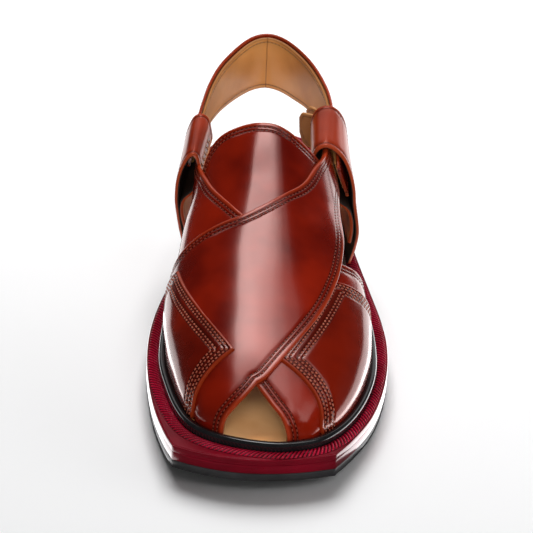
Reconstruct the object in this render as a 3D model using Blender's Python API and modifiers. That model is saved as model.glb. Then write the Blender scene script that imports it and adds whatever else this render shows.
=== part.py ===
"""Norozi chappal, the left shoe: a crossed-strap sandal on a square-toed, low-heeled sole.

Two wide straps cross over the instep and stand on the sole round the forefoot, which leaves the toe
open. Their upper ends and the heel strap run through a folded keeper on each side of the ankle.
The frame: +X is the wearer's left (the outer side of the foot), the toe points to -Y, +Z is up, and
the origin lies on the floor under the middle of the sole. Every table is in millimetres.
"""
import bpy
import bmesh
import numpy as np

MM = 0.001
MEDIAL, LATERAL = -1, 1

# Driving dimensions, millimetres
SOLE_LENGTH = 286.0
GAP = 0.3                # clearance that touching pieces keep
OUTSOLE_THICK = 4.2
MIDSOLE_THICK = 4.4
WELT_THICK = 3.2
INSOLE_THICK = 2.0
HEEL_RISE = 6.5          # how far the heel seat stands above the forefoot
TOE_SPRING = 4.0         # how far the toe tip stands above the floor
SPRING_END = 62.0        # the sole touches the floor from here back
WAIST_START, WAIST_END = 115.0, 195.0
RAND_WIDTH = 3.0
RAND_HEIGHT = 4.2
FOOT_CLEARANCE = 0.5     # between the rand and the walls that stand behind it
STRAP_LEATHER = 2.2      # the under strap's wall
OVER_LEATHER = 2.7       # the over strap's wall
OVER_RISE = 4.2          # how far its face stands above the last where it rides on the under strap
PANEL_STEP = 1.4         # how far a side panel stands proud of its strap
SUNK = 1.3               # how deep an overlay is sunk into what it is sewn to
TONGUE_LEATHER = 2.0
TONGUE_DEPTH = 0.7       # how far the tongue's face lies below the under strap's inner face
KEEPER_LEATHER = 2.0
HEEL_STRAP_THICK = 3.2

UNDERSIDE_TOP = OUTSOLE_THICK + GAP + MIDSOLE_THICK + GAP + WELT_THICK
UPPER_FOOT = UNDERSIDE_TOP + GAP + INSOLE_THICK + 2 * GAP

# Sole outline: distance from the toe tip, medial edge, lateral edge
SOLE_ROWS = [
    (22, -47.5, 41.0), (40, -52.5, 49.5), (60, -56.0, 55.0), (80, -57.8, 57.8),
    (100, -57.6, 58.0), (120, -55.0, 55.5), (140, -50.0, 51.0), (160, -43.5, 46.0),
    (180, -38.0, 41.5), (200, -35.5, 37.5), (225, -36.0, 34.0), (250, -36.5, 32.0),
    (268, -31.5, 26.5), (280, -20.0, 15.0), (286, -2.5, -2.5),
]
TOE_CORNER = {MEDIAL: (-43.0, 10.0), LATERAL: (32.0, 7.0)}   # x, distance from the toe tip
TOE_TIP = (-5.0, 0.0)

# Feather line, where the upper meets the sole: distance, medial x, lateral x
FEATHER_ROWS = [
    (75, -52.0, 52.3), (100, -51.8, 52.0), (120, -49.5, 49.5), (140, -44.5, 45.0),
    (160, -37.0, 40.0), (180, -31.5, 35.5), (200, -29.0, 31.5), (225, -29.5, 28.0),
    (250, -30.0, 26.0), (268, -24.0, 19.0), (276, -15.0, 10.0), (280, -2.5, -2.5),
]
# Its rounded front, from the middle of the toe outwards: x, distance
FEATHER_FRONT = {
    MEDIAL: [(2, 7.2), (-14, 10), (-27, 15.5), (-36.5, 24), (-43, 37), (-48, 54)],
    LATERAL: [(2, 7.2), (14, 8.8), (25, 13.5), (34, 22.5), (42, 36), (48.5, 54)],
}

# The last, a row for each section: distance along the ridge, ridge x, ridge height,
# how far the medial and the lateral wall bulge past the feather line, how high up the wall
# the bulge sits, how far out the crown stays level on the medial and on the lateral side
LAST_ROWS = [
    (22, -4.0, 27, 1.0, 1.0, 0.62, 0.52, 0.52),
    (33, -5.0, 32, 2.0, 2.0, 0.66, 0.55, 0.55),
    (50, -6.0, 39, 3.0, 3.5, 0.70, 0.58, 0.58),
    (75, -7.0, 47, 5.0, 6.5, 0.72, 0.58, 0.58),
    (100, -8.0, 55, 8.0, 10.0, 0.72, 0.60, 0.58),
    (125, -8.0, 64, 15.0, 12.0, 0.72, 0.61, 0.58),
    (150, -7.5, 75, 25.0, 10.5, 0.74, 0.66, 0.56),
    (178, -6.5, 88, 38.0, 14.0, 0.72, 0.76, 0.54),
    (205, -6.0, 97, 44.0, 18.0, 0.72, 0.76, 0.54),
]
LAST_FRONT, LAST_SQUARE = 22.0, 100.0   # in front of LAST_SQUARE the sections fan round the toe
FAN_POWER = 0.62

# The straps and panels lie on the last. A point there is (distance along the ridge, girth), where
# girth runs from -1 at the medial feather line over 0 on the ridge to 1 at the lateral one.
# Over strap, lateral keeper to medial foot: top edge distance, girth; bottom edge distance, girth
OVER_STRAP = [
    (185, 0.44, 184, 0.61), (174.5, 0.40, 171, 0.60), (162, 0.31, 155, 0.51),
    (148, 0.22, 138, 0.45), (139, 0.12, 119, 0.405), (132, 0.03, 99, 0.36), (127, -0.06, 79, 0.295),
    (124, -0.17, 60, 0.20), (121.5, -0.28, 44, 0.10), (119.5, -0.38, 36, 0.02), (118, -0.48, 32, -0.12),
    (116.5, -0.60, 30, -0.30), (116, -0.73, 29.2, -0.52), (115.5, -0.86, 28.8, -0.76),
    (115, -1.0, 28.8, -1.0),
]
# Under strap, medial keeper to lateral foot, the same columns
UNDER_STRAP = [
    (181, -0.50, 181, -0.53), (176, -0.485, 174, -0.53), (169, -0.455, 166, -0.57),
    (160, -0.39, 158, -0.65), (147.5, -0.29, 148, -0.79), (137.5, -0.18, 136, -0.95),
    (128, -0.07, 116, -0.93), (121, 0.04, 94, -0.72), (116, 0.15, 74, -0.48), (113, 0.26, 56, -0.27), (111.5, 0.35, 40, -0.07), (112, 0.42, 32.5, 0.01),
    (114.5, 0.52, 28, 0.10), (115.5, 0.64, 25.8, 0.24), (113, 0.76, 24.3, 0.45), (109, 0.88, 23.8, 0.72),
    (106, 1.0, 23.7, 1.0),
]
HIDDEN_EDGE_ROWS = 12    # rows of the under strap whose lower edge runs below the over strap
# Side panels, back to apex: top edge distance, girth; foot distance, girth
MEDIAL_PANEL = [
    (106.5, -0.47, 104, -1.0), (91.5, -0.40, 86, -1.0), (75, -0.30, 68, -1.0), (63, -0.22, 54, -1.0),
    (51, -0.13, 38.5, -1.0),
]
LATERAL_PANEL = [
    (97, 0.32, 101, 1.0), (83, 0.27, 83, 1.0), (66, 0.20, 62, 1.0), (47.5, 0.105, 30.6, 1.0),
]
MEDIAL_PANEL_BOW = (3.0, -5.0)    # how far its back and front edge bow along the last
LATERAL_PANEL_BOW = (3.0, -6.5)
PANEL_FOOT = {MEDIAL: 26.0, LATERAL: 16.0}    # distance at which a panel's foot starts
# Tongue, side to side: front distance, girth; back distance, girth
TONGUE = [
    (150, -0.58, 158, -0.55), (141, -0.50, 168, -0.47), (131, -0.34, 176.5, -0.33),
    (125, -0.18, 178.3, -0.16), (122, -0.04, 178.8, -0.03), (123, 0.08, 178, 0.07), (128, 0.20, 176, 0.16),
    (136, 0.32, 174, 0.26), (146, 0.44, 173, 0.37), (156, 0.52, 173, 0.46),
]


# ---- curves -------------------------------------------------------------------------------------
def catmull(points, count):
    """Catmull-Rom curve through points[1:-1]; the first and the last point only set its end slopes."""
    points = np.asarray(points, float)
    spans = len(points) - 3
    t = np.linspace(0, spans, count)
    i = np.minimum(t.astype(int), spans - 1)
    u = (t - i)[:, None]
    p0, p1, p2, p3 = points[i], points[i + 1], points[i + 2], points[i + 3]
    return 0.5 * (2 * p1 + (p2 - p0) * u + (2 * p0 - 5 * p1 + 4 * p2 - p3) * u ** 2
                  + (3 * p1 - p0 - 3 * p2 + p3) * u ** 3)


def through(points, count):
    """The same curve with its end slopes carried straight on."""
    points = np.asarray(points, float)
    return catmull(np.vstack([2 * points[0] - points[1], points, 2 * points[-1] - points[-2]]), count)


def spaced(curve, count):
    """The curve again, with count points at equal distances along it."""
    steps = np.linalg.norm(np.diff(curve, axis=0), axis=1)
    along = np.concatenate([[0.0], np.cumsum(steps)])
    even = np.linspace(0, along[-1], count)
    return np.stack([np.interp(even, along, curve[:, k]) for k in range(curve.shape[1])], 1)


def smooth_table(at, knots, values):
    """Cubic Hermite curve through a table of values."""
    slopes = np.gradient(values, knots)
    at = np.clip(at, knots[0], knots[-1])
    i = np.clip(np.searchsorted(knots, at, side="right") - 1, 0, len(knots) - 2)
    width = knots[i + 1] - knots[i]
    t = (at - knots[i]) / width
    return ((2 * t ** 3 - 3 * t ** 2 + 1) * values[i] + (t ** 3 - 2 * t ** 2 + t) * width * slopes[i]
            + (3 * t ** 2 - 2 * t ** 3) * values[i + 1] + (t ** 3 - t ** 2) * width * slopes[i + 1])


def smoothstep(x, low, high):
    t = np.clip((x - low) / (high - low), 0, 1)
    return t * t * (3 - 2 * t)


def inset(curve, side, distance):
    """A plan curve moved towards the middle of the shoe."""
    tangent = np.gradient(curve, axis=0)
    tangent /= np.linalg.norm(tangent, axis=1)[:, None]
    inward = np.stack([tangent[:, 1], -tangent[:, 0]], 1) * -side
    return curve + inward * distance


# ---- sole ---------------------------------------------------------------------------------------
def underside(distance):
    """Height of the outsole's lower face: toe spring, flat tread, rise at the waist, level heel seat."""
    spring = TOE_SPRING * np.clip((SPRING_END - distance) / SPRING_END, 0, None) ** 2
    return spring + HEEL_RISE * smoothstep(distance, WAIST_START, WAIST_END)


def sole_half(side, front_count=6, side_count=38):
    """Plan curve (x, distance) of one side of the sole, from the toe tip round the corner to the heel."""
    column, other = (1, 2) if side == MEDIAL else (2, 1)
    corner, tip = np.array(TOE_CORNER[side]), np.array(TOE_TIP)
    x = np.linspace(tip[0], corner[0], front_count)
    front = np.stack([x, tip[1] + (corner[1] - tip[1]) * ((x - tip[0]) / (corner[0] - tip[0])) ** 2], 1)
    rows = [(row[column], row[0]) for row in SOLE_ROWS]
    beyond = (SOLE_ROWS[-2][other], SOLE_ROWS[-2][0])
    before = 2 * corner - np.array(rows[0])
    run = spaced(catmull([before, corner] + rows + [beyond], 800), side_count)
    return np.vstack([front[:-1], run])


def feather_half(side, count):
    """Plan curve (x, distance) of one side of the feather line, from mid toe to mid heel."""
    column, other = (1, 2) if side == MEDIAL else (2, 1)
    rows = FEATHER_FRONT[side] + [(row[column], row[0]) for row in FEATHER_ROWS]
    before = FEATHER_FRONT[-side][1]
    beyond = (FEATHER_ROWS[-2][other], FEATHER_ROWS[-2][0])
    return spaced(catmull([before] + rows + [beyond], 900), count)


# ---- last ---------------------------------------------------------------------------------------
def last_feet():
    """For each side, the line on which the last stands and its length along the way.

    It lies behind the rand by the wall that stands on it there, so each wall's foot meets the rand.
    """
    feet = {}
    for side in (MEDIAL, LATERAL):
        curve = feather_half(side, 700)
        panel = smoothstep(curve[:, 1], PANEL_FOOT[side] - 4, PANEL_FOOT[side])
        wall = (OVER_LEATHER if side == MEDIAL else STRAP_LEATHER) + PANEL_STEP * panel
        curve = inset(curve, side, (RAND_WIDTH + FOOT_CLEARANCE + wall)[:, None])
        curve[0, 0] = -1.5
        steps = np.linalg.norm(np.diff(curve, axis=0), axis=1)
        feet[side] = (curve, np.concatenate([[0.0], np.cumsum(steps)]))
    return feet


LAST_FEET = last_feet()


def last_foot(distance, side):
    """Foot of the section at a ridge distance: x, distance from the toe, and the outward direction."""
    curve, along = LAST_FEET[side]
    k = int(np.argmax(curve[:, 1] >= LAST_SQUARE))
    share = np.clip(distance - LAST_FRONT, 0, None) / (LAST_SQUARE - LAST_FRONT)
    fan = along[k] * share ** FAN_POWER
    square = np.interp(distance, curve[k - 5:620, 1], along[k - 5:620])
    s = np.where(distance < LAST_SQUARE, fan, square)
    x, d = np.interp(s, along, curve[:, 0]), np.interp(s, along, curve[:, 1])
    ahead = np.stack([np.interp(s + 1, along, curve[:, 0]), np.interp(s + 1, along, curve[:, 1])], -1)
    behind = np.stack([np.interp(s - 1, along, curve[:, 0]), np.interp(s - 1, along, curve[:, 1])], -1)
    tangent = (ahead - behind) / np.linalg.norm(ahead - behind, axis=-1, keepdims=True)
    outward = np.stack([tangent[..., 1], -tangent[..., 0]], -1) * side
    return x, d, outward


def last_point(distance, girth):
    """Point (x, distance from the toe, z) of the last, a quartic Bezier from the ridge to each foot."""
    distance, girth = np.broadcast_arrays(np.asarray(distance, float), np.asarray(girth, float))
    table = np.array(LAST_ROWS, float)
    read = lambda column, at: smooth_table(at, table[:, 0], table[:, column])
    ridge = np.stack([read(1, distance), distance, read(2, distance)], -1)
    slope = read(2, distance + 0.5) - read(2, distance - 0.5)
    result = np.zeros(distance.shape + (3,))
    for side in (MEDIAL, LATERAL):
        x, d, outward = last_foot(distance, side)
        z = underside(d) + UPPER_FOOT
        bulge = read(3 if side == MEDIAL else 4, distance)
        rise = ridge[..., 2] - z
        foot = np.stack([x, d, z], -1)
        upright = foot + np.stack([0 * rise, 0 * rise, 0.22 * rise], -1)
        belly = foot + np.concatenate([outward * bulge[..., None], (read(5, distance) * rise)[..., None]], -1)
        level = (foot - ridge)[..., :2] * read(6 if side == MEDIAL else 7, distance)[..., None]
        crown = ridge + np.stack([level[..., 0], level[..., 1], level[..., 1] * slope], -1)
        t = np.abs(girth)[..., None]
        point = ((1 - t) ** 4 * ridge + 4 * (1 - t) ** 3 * t * crown + 6 * (1 - t) ** 2 * t ** 2 * belly
                 + 4 * (1 - t) * t ** 3 * upright + t ** 4 * foot)
        here = girth < 0 if side == MEDIAL else girth >= 0
        result[here] = point[here]
    return result


def on_last(distance, girth, height):
    """Point at a height above the last, along its normal."""
    along = last_point(distance + 0.3, girth) - last_point(distance - 0.3, girth)
    left, right = np.clip(girth - 0.01, -1, 1), np.clip(girth + 0.01, -1, 1)
    around = last_point(distance, right) - last_point(distance, left)
    normal = np.cross(around, along)
    normal /= np.linalg.norm(normal, axis=-1, keepdims=True)
    return last_point(distance, girth) + normal * np.asarray(height, float)[..., None]


# ---- tables of the straps at the ankle ------------------------------------------------------------
# Heel strap, lateral end round the heel to the medial end.
# Its middle surface: top edge x, distance, height; bottom edge x, distance, height
HEEL_STRAP = [
    (33.2, 175, 65.4, 38.2, 174, 49.6), (31.8, 187, 69.4, 37.8, 186, 51.2),
    (29.9, 201, 73.2, 35.8, 200, 53.0), (28.6, 213, 76.4, 33.0, 212, 54.0),
    (26.6, 226, 79.0, 29.6, 225, 54.0), (22.6, 239, 81.0, 25.0, 237, 54.0),
    (17.6, 250, 82.8, 19.6, 249, 54.0), (10.8, 261, 84.2, 12.0, 259, 54.0),
    (3.4, 269, 85.2, 4.0, 267, 54.3), (-4.0, 272, 85.6, -4.0, 270, 54.5),
    (-11.6, 269, 85.0, -12.0, 267, 54.3), (-19.2, 260, 83.4, -20.4, 258, 54.0),
    (-27.0, 247, 80.8, -28.6, 245, 53.6), (-32.0, 234, 77.6, -34.0, 232, 53.0),
    (-35.2, 220, 74.2, -37.4, 219, 52.4), (-37.6, 206, 71.2, -39.8, 205, 51.0),
    (-38.6, 196, 69.2, -41.2, 195, 50.6), (-39.6, 187, 67.0, -42.4, 186, 50.2),
]
# Tail of the heel strap, doubled back on itself inside the lateral keeper, both ends standing out
# behind it: the same columns
STRAP_TAIL = [
    (13.4, 216.5, 69.0, 13.8, 216.5, 60.0), (14.8, 215.8, 72.0, 15.4, 215.6, 57.0),
    (17.6, 214.6, 72.4, 18.4, 214.4, 56.0), (20.8, 213.2, 72.4, 22.4, 213.0, 57.4),
    (23.4, 210.0, 72.2, 25.6, 210.0, 59.8), (24.2, 199.0, 71.6, 26.4, 199.0, 60.2),
    (24.4, 191.4, 70.4, 26.8, 191.4, 59.4), (25.4, 189.2, 70.0, 27.8, 189.2, 59.2),
    (26.5, 191.4, 70.4, 28.8, 191.4, 59.4), (26.4, 199.0, 72.0, 28.7, 199.0, 60.2),
    (26.0, 207.4, 72.8, 28.4, 207.4, 60.6), (24.1, 213.2, 73.6, 26.2, 213.2, 60.6),
    (20.8, 216.8, 74.2, 22.6, 216.8, 61.0), (18.4, 219.0, 73.8, 19.4, 219.0, 62.4),
    (17.0, 220.4, 71.4, 17.6, 220.4, 65.2),
]
TAIL_LEATHER = 1.6
# Keepers: the middle line of the folded strap at its front and its back edge, x outwards and height,
# from the sole up the outer side, over the crown, down the inner side and back to the outer wall
LATERAL_KEEPER = [
    ("foot", 40.3, 0.0, 36.2, 0.0), ("shin", 42.6, 25.0, 38.2, 26.0), ("bow", 43.8, 32.0, 39.4, 33.0),
    ("seam", 43.2, 39.0, 39.8, 40.0), ("wall", 42.3, 46.0, 39.4, 48.0), ("side", 41.8, 54.0, 38.6, 57.0),
    ("shoulder", 39.6, 62.0, 38.0, 65.2), ("slope", 36.2, 68.2, 36.4, 72.2), ("crown", 31.2, 72.4, 33.2, 76.9),
    ("top", 26.8, 73.6, 28.4, 78.9), ("turn", 22.8, 71.4, 23.2, 77.0), ("cheek", 20.8, 66.0, 20.8, 71.5),
    ("inside", 21.6, 59.5, 21.6, 64.5), ("floor", 26.6, 52.4, 25.8, 56.6), ("tuck", 33.6, 46.9, 31.6, 51.0),
    ("join", 38.6, 43.4, 36.2, 46.4), ("flap", 40.6, 38.8, 37.2, 41.0), ("flap end", 41.1, 33.6, 36.9, 35.0),
]
MEDIAL_KEEPER = [
    ("foot", 40.2, 0.0, 33.4, 0.0), ("shin", 43.0, 25.0, 37.0, 27.0), ("bow", 45.0, 32.0, 39.8, 35.0),
    ("seam", 46.4, 39.0, 41.8, 42.0), ("wall", 47.4, 46.0, 43.2, 49.0), ("side", 47.2, 54.0, 43.8, 57.0),
    ("shoulder", 45.8, 60.6, 43.0, 65.0), ("slope", 43.6, 65.6, 41.2, 70.6), ("crown", 41.4, 68.2, 39.0, 73.8),
    ("top", 38.8, 69.2, 36.4, 74.8), ("turn", 35.8, 67.8, 33.2, 73.0), ("cheek", 34.2, 63.6, 31.4, 68.4),
    ("inside", 35.0, 57.2, 32.2, 61.2), ("floor", 38.7, 50.6, 35.6, 54.2), ("tuck", 42.2, 46.4, 38.3, 49.8),
    ("join", 44.4, 43.6, 39.6, 46.6), ("flap", 44.6, 38.8, 39.6, 41.6), ("flap end", 43.4, 33.6, 38.0, 36.0),
]
KEEPER_FOOT = {MEDIAL: 161.0, LATERAL: 161.0}    # distance of its front edge at the sole
KEEPER_HIGH = {MEDIAL: 176.0, LATERAL: 180.0}    # distance of its front edge at the crown
KEEPER_WIDTH = 29.0
KEEPER_FOOT_HEIGHT, KEEPER_CROWN_HEIGHT = 18.0, 72.0


# ---- building -----------------------------------------------------------------------------------
def world(points):
    """Table millimetres (x, distance from the toe, z) to metres round the origin."""
    points = np.array(points, float)
    points[..., 1] -= SOLE_LENGTH / 2
    return points * MM


def grid_faces(rows, columns, closed=False):
    """Quads of a grid whose points are numbered row by row; closed joins the last column to the first."""
    spans = columns if closed else columns - 1
    i, j = np.meshgrid(np.arange(rows - 1), np.arange(spans), indexing="ij")
    k = (j + 1) % columns
    here, ahead = i * columns, (i + 1) * columns
    return np.stack([here + j, ahead + j, ahead + k, here + k], -1).reshape(-1, 4)


def add_object(name, points, faces, material):
    mesh = bpy.data.meshes.new(name)
    mesh.from_pydata(world(points).reshape(-1, 3).tolist(), [], [list(map(int, face)) for face in faces])
    mesh.materials.append(material)
    obj = bpy.data.objects.new(name, mesh)
    PARTS.objects.link(obj)
    return obj


def edit(obj, change):
    """Run change(bm) on the object's mesh."""
    bm = bmesh.new()
    bm.from_mesh(obj.data)
    change(bm)
    bm.to_mesh(obj.data)
    bm.free()


def sheet(name, points, material, flip=False):
    """An open surface from a grid of points."""
    rows, columns = points.shape[:2]
    faces = grid_faces(rows, columns)
    if flip:
        faces = faces[:, ::-1]
    obj = add_object(name, points, faces, material)
    edit(obj, lambda bm: bmesh.ops.remove_doubles(bm, verts=bm.verts, dist=0.01 * MM))
    return obj


def thicken(obj, thickness, offset=1.0, edge=0.0):
    """Give a sheet its wall, and round the wall's edge."""
    wall = obj.modifiers.new("wall", "SOLIDIFY")
    wall.thickness = thickness * MM
    wall.offset = offset
    if edge:
        bevel = obj.modifiers.new("edge", "BEVEL")
        bevel.width = edge * MM
        bevel.segments = 1
        bevel.limit_method = "ANGLE"
        bevel.angle_limit = np.radians(50)
    return obj


def shell(name, inner, outer, material):
    """A closed wall between an inner and an outer grid of points, rimmed all round."""
    rows, columns = inner.shape[:2]
    count = rows * columns
    index = np.arange(count).reshape(rows, columns)
    rim = np.concatenate([index[0, :], index[1:, -1], index[-1, -2::-1], index[-2:0:-1, 0]])
    ahead = np.roll(rim, -1)
    sides = np.stack([rim, ahead, ahead + count, rim + count], 1)
    faces = np.concatenate([grid_faces(rows, columns), grid_faces(rows, columns)[:, ::-1] + count, sides])
    obj = add_object(name, np.stack([inner, outer]), faces, material)

    def tidy(bm):
        bmesh.ops.remove_doubles(bm, verts=bm.verts, dist=0.01 * MM)
        bmesh.ops.recalc_face_normals(bm, faces=bm.faces)
    edit(obj, tidy)
    return obj


def join(obj, other, operation="UNION"):
    """Fuse another solid into this one, or cut it away."""
    fuse = obj.modifiers.new(other.name, "BOOLEAN")
    fuse.operation = operation
    fuse.solver = "EXACT"
    fuse.object = other
    other.hide_render = True
    other.display_type = "WIRE"
    PARTS.objects.unlink(other)
    CUTTERS.objects.link(other)


def finish(name, colour, roughness):
    material = bpy.data.materials.new(name)
    material.use_nodes = True
    shader = material.node_tree.nodes["Principled BSDF"]
    shader.inputs["Base Color"].default_value = (*colour, 1.0)
    shader.inputs["Roughness"].default_value = roughness
    shader.inputs["Metallic"].default_value = 0.0
    return material


def slab(name, medial, lateral, low, thick, material, edge, columns=2):
    """A level sheet of the sole between two plan curves, raised by its thickness."""
    across = np.linspace(0, 1, columns + 1)[None, :, None]
    plan = medial[:, None, :] * (1 - across) + lateral[:, None, :] * across
    points = np.concatenate([plan, (underside(plan[..., 1]) + low)[..., None]], -1)
    obj = sheet(name, points, material)

    def raise_top(bm):
        top = bmesh.ops.extrude_face_region(bm, geom=list(bm.faces))["geom"]
        verts = [item for item in top if isinstance(item, bmesh.types.BMVert)]
        bmesh.ops.translate(bm, verts=verts, vec=(0, 0, thick * MM))
        bmesh.ops.recalc_face_normals(bm, faces=bm.faces)
    edit(obj, raise_top)
    bevel = obj.modifiers.new("edge", "BEVEL")
    bevel.width = edge * MM
    bevel.segments = 1
    bevel.limit_method = "ANGLE"
    bevel.angle_limit = np.radians(50)
    return obj


def build_sole(rubber, welt_leather, lining):
    medial, lateral = sole_half(MEDIAL), sole_half(LATERAL)
    cut_grooves(slab("outsole", medial, lateral, 0.0, OUTSOLE_THICK, rubber, 0.5), rubber)
    slab("midsole", medial, lateral, OUTSOLE_THICK + GAP, MIDSOLE_THICK, welt_leather, 0.4)
    slab("welt", medial, lateral, OUTSOLE_THICK + MIDSOLE_THICK + 2 * GAP, WELT_THICK, welt_leather, 0.6)
    build_heel_block(medial, lateral, rubber)
    build_insole(lining)
    build_rand(rubber)


# Tread grooves of the forefoot: points (x, distance) along each
GROOVES = {
    "toe_band": [(-42, 19.5), (-5, 17.0), (33, 17.5)],
    "medial_lens": [(-45, 50), (-34, 68), (-30.5, 92), (-35, 114), (-43, 130)],
    "medial_sweep": [(-36, 27), (-22, 55), (-16.5, 85), (-20, 117), (-34, 147)],
    "middle": [(-6, 18), (-3, 60), (-1, 105), (-5, 153)],
    "lateral_sweep": [(25, 25), (17, 55), (14.5, 85), (19, 117), (32, 147)],
    "lateral_lens": [(45, 54), (34, 71), (30.5, 92), (34, 112), (43, 127)],
    "back": [(-42, 142), (-24, 150.5), (0, 153.5), (24, 150.5), (42, 143)],
}
GROOVE_WIDTH, GROOVE_DEPTH, GROOVE_STATIONS = 2.0, 1.2, 9
HEEL_BREAST = {MEDIAL: 199.0, LATERAL: 184.0}


def cut_grooves(outsole, rubber):
    """Shallow channels of even depth in the outsole's lower face."""
    for name, points in GROOVES.items():
        path = spaced(through(points, 60), GROOVE_STATIONS)
        tangent = np.gradient(path, axis=0)
        tangent /= np.linalg.norm(tangent, axis=1)[:, None]
        aside = np.stack([tangent[:, 1], -tangent[:, 0]], 1) * GROOVE_WIDTH / 2
        plan = np.stack([path - aside, path + aside], 1)
        face = underside(plan[..., 1])[..., None]
        below = np.concatenate([plan, face - GROOVE_DEPTH], -1)
        above = np.concatenate([plan, face + GROOVE_DEPTH], -1)
        join(outsole, shell("groove_" + name, below, above, rubber), "DIFFERENCE")


def build_heel_block(medial, lateral, rubber):
    """The rear of the sole's outline, cut off along the slanted breast."""
    across = np.linspace(0, 1, 3)[None, :, None]
    plan = medial[:, None, :] * (1 - across) + lateral[:, None, :] * across
    points = np.concatenate([plan, np.zeros(plan.shape[:2] + (1,))], -1)
    obj = sheet("heel_block", points, rubber)
    half = 40.0
    middle = (HEEL_BREAST[MEDIAL] + HEEL_BREAST[LATERAL]) / 2
    lean = (HEEL_BREAST[MEDIAL] - HEEL_BREAST[LATERAL]) / (2 * half)

    def cut_and_raise(bm):
        geometry = list(bm.verts) + list(bm.edges) + list(bm.faces)
        bmesh.ops.bisect_plane(bm, geom=geometry, plane_co=(0, (middle - SOLE_LENGTH / 2) * MM, 0),
                               plane_no=(-lean, -1, 0), clear_outer=True)
        top = bmesh.ops.extrude_face_region(bm, geom=list(bm.faces))["geom"]
        for vert in (item for item in top if isinstance(item, bmesh.types.BMVert)):
            distance = vert.co.y / MM + SOLE_LENGTH / 2
            vert.co.z = (underside(np.array(distance)) - GAP) * MM
        bmesh.ops.recalc_face_normals(bm, faces=bm.faces)
    edit(obj, cut_and_raise)
    bevel = obj.modifiers.new("edge", "BEVEL")
    bevel.width = 0.6 * MM
    bevel.segments = 1
    bevel.limit_method = "ANGLE"
    bevel.angle_limit = np.radians(50)


def insole_half(side, count=38):
    """The insole reaches to the rand in front, and nearly to the feather line behind it."""
    curve = feather_half(side, count)
    ahead = 1 - smoothstep(curve[:, 1], 148, 166)
    curve = inset(curve, side, (0.5 + (RAND_WIDTH + 1.5 * GAP - 0.5) * ahead)[:, None])
    curve[0] = (2.0, FEATHER_FRONT[side][0][1] + RAND_WIDTH + 1.5 * GAP)
    curve[-1] = (-2.5, FEATHER_ROWS[-1][0])
    return curve


def build_insole(lining):
    medial, lateral = insole_half(MEDIAL), insole_half(LATERAL)
    slab("insole", medial, lateral, UNDERSIDE_TOP + GAP, INSOLE_THICK, lining, 0.4)


RAND_END = 152.0
RAND_TAPER = 14.0
# Its section, as shares of its width and height
RAND_SECTION = [(-0.5, 0.0), (0.5, 0.0), (0.5, 0.62), (0.3, 0.92), (0.0, 1.0), (-0.3, 0.92), (-0.5, 0.62)]


def build_rand(rubber):
    """A round-topped bead along the feather line, tapered at both of its rear ends."""
    halves = []
    for side in (MEDIAL, LATERAL):
        curve = feather_half(side, 60)
        halves.append(inset(curve, side, RAND_WIDTH / 2)[curve[:, 1] < RAND_END])
    halves[0][0, 0] = halves[1][0, 0] = 2.0
    halves[0][0, 1] = halves[1][0, 1] = FEATHER_FRONT[MEDIAL][0][1] + RAND_WIDTH / 2
    path = spaced(np.vstack([halves[0][::-1], halves[1][1:]]), 52)
    tangent = np.gradient(path, axis=0)
    tangent /= np.linalg.norm(tangent, axis=1)[:, None]
    across = np.stack([tangent[:, 1], -tangent[:, 0]], 1)
    step = np.linalg.norm(np.diff(path, axis=0), axis=1)
    along = np.concatenate([[0.0], np.cumsum(step)])
    end = np.minimum(along, along[-1] - along)
    size = 0.35 + 0.65 * smoothstep(end, 0, RAND_TAPER)
    section = size[:, None, None] * np.array(RAND_SECTION) * (RAND_WIDTH, RAND_HEIGHT)
    plan = path[:, None, :] + across[:, None, :] * section[..., :1]
    height = underside(path[:, 1])[:, None] + UNDERSIDE_TOP + GAP + section[..., 1]
    points = np.concatenate([plan, height[..., None]], -1)
    rows, columns = points.shape[:2]
    faces = [list(face) for face in grid_faces(rows, columns, closed=True)]
    faces.append(list(range(columns)))
    faces.append(list(range((rows - 1) * columns, rows * columns)))
    obj = add_object("rand", points, faces, rubber)
    edit(obj, lambda bm: bmesh.ops.recalc_face_normals(bm, faces=bm.faces))


def strap_grid(rows, along, across):
    """Distance and girth over a strap, between its two edge curves."""
    edges = through(rows, along)
    share = np.linspace(0, 1, across)[None, :, None]
    grid = edges[:, None, :2] * (1 - share) + edges[:, None, 2:] * share
    grid[..., 1] = np.clip(grid[..., 1], -1, 1)
    return grid


def panel_grid(rows, bow, along, across):
    grid = strap_grid(rows, along, across)
    share = np.linspace(0, 1, across)[None, :]
    bows = np.linspace(bow[0], bow[1], along)[:, None]
    grid[..., 0] += bows * 4 * share * (1 - share)
    return grid


def over_walls(distance, girth):
    """Heights of the over strap's inner and outer face: it rides on the under strap where they cross."""
    under = np.array(UNDER_STRAP, float)
    hidden = under[:HIDDEN_EDGE_ROWS][::-1]
    hidden_edge = np.interp(distance, hidden[:, 2], hidden[:, 3])
    low = np.maximum(hidden_edge - 0.34, -1.0)
    on_under = smoothstep(girth, low, np.maximum(hidden_edge - 0.03, low + 0.06))
    past_top = smoothstep(distance, 122, 146) * smoothstep(girth, -0.04, 0.12)
    ride = on_under * (1 - past_top)
    inner = (STRAP_LEATHER - SUNK) * ride + 0.2 * past_top
    return inner, OVER_LEATHER + (OVER_RISE - OVER_LEATHER) * ride + 0.2 * past_top


def on_last_shell(name, grid, inner, outer, material):
    """A wall on the last between two heights over a grid of distance and girth."""
    distance, girth = grid[..., 0], grid[..., 1]
    return shell(name, on_last(distance, girth, inner), on_last(distance, girth, outer), material)


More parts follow.
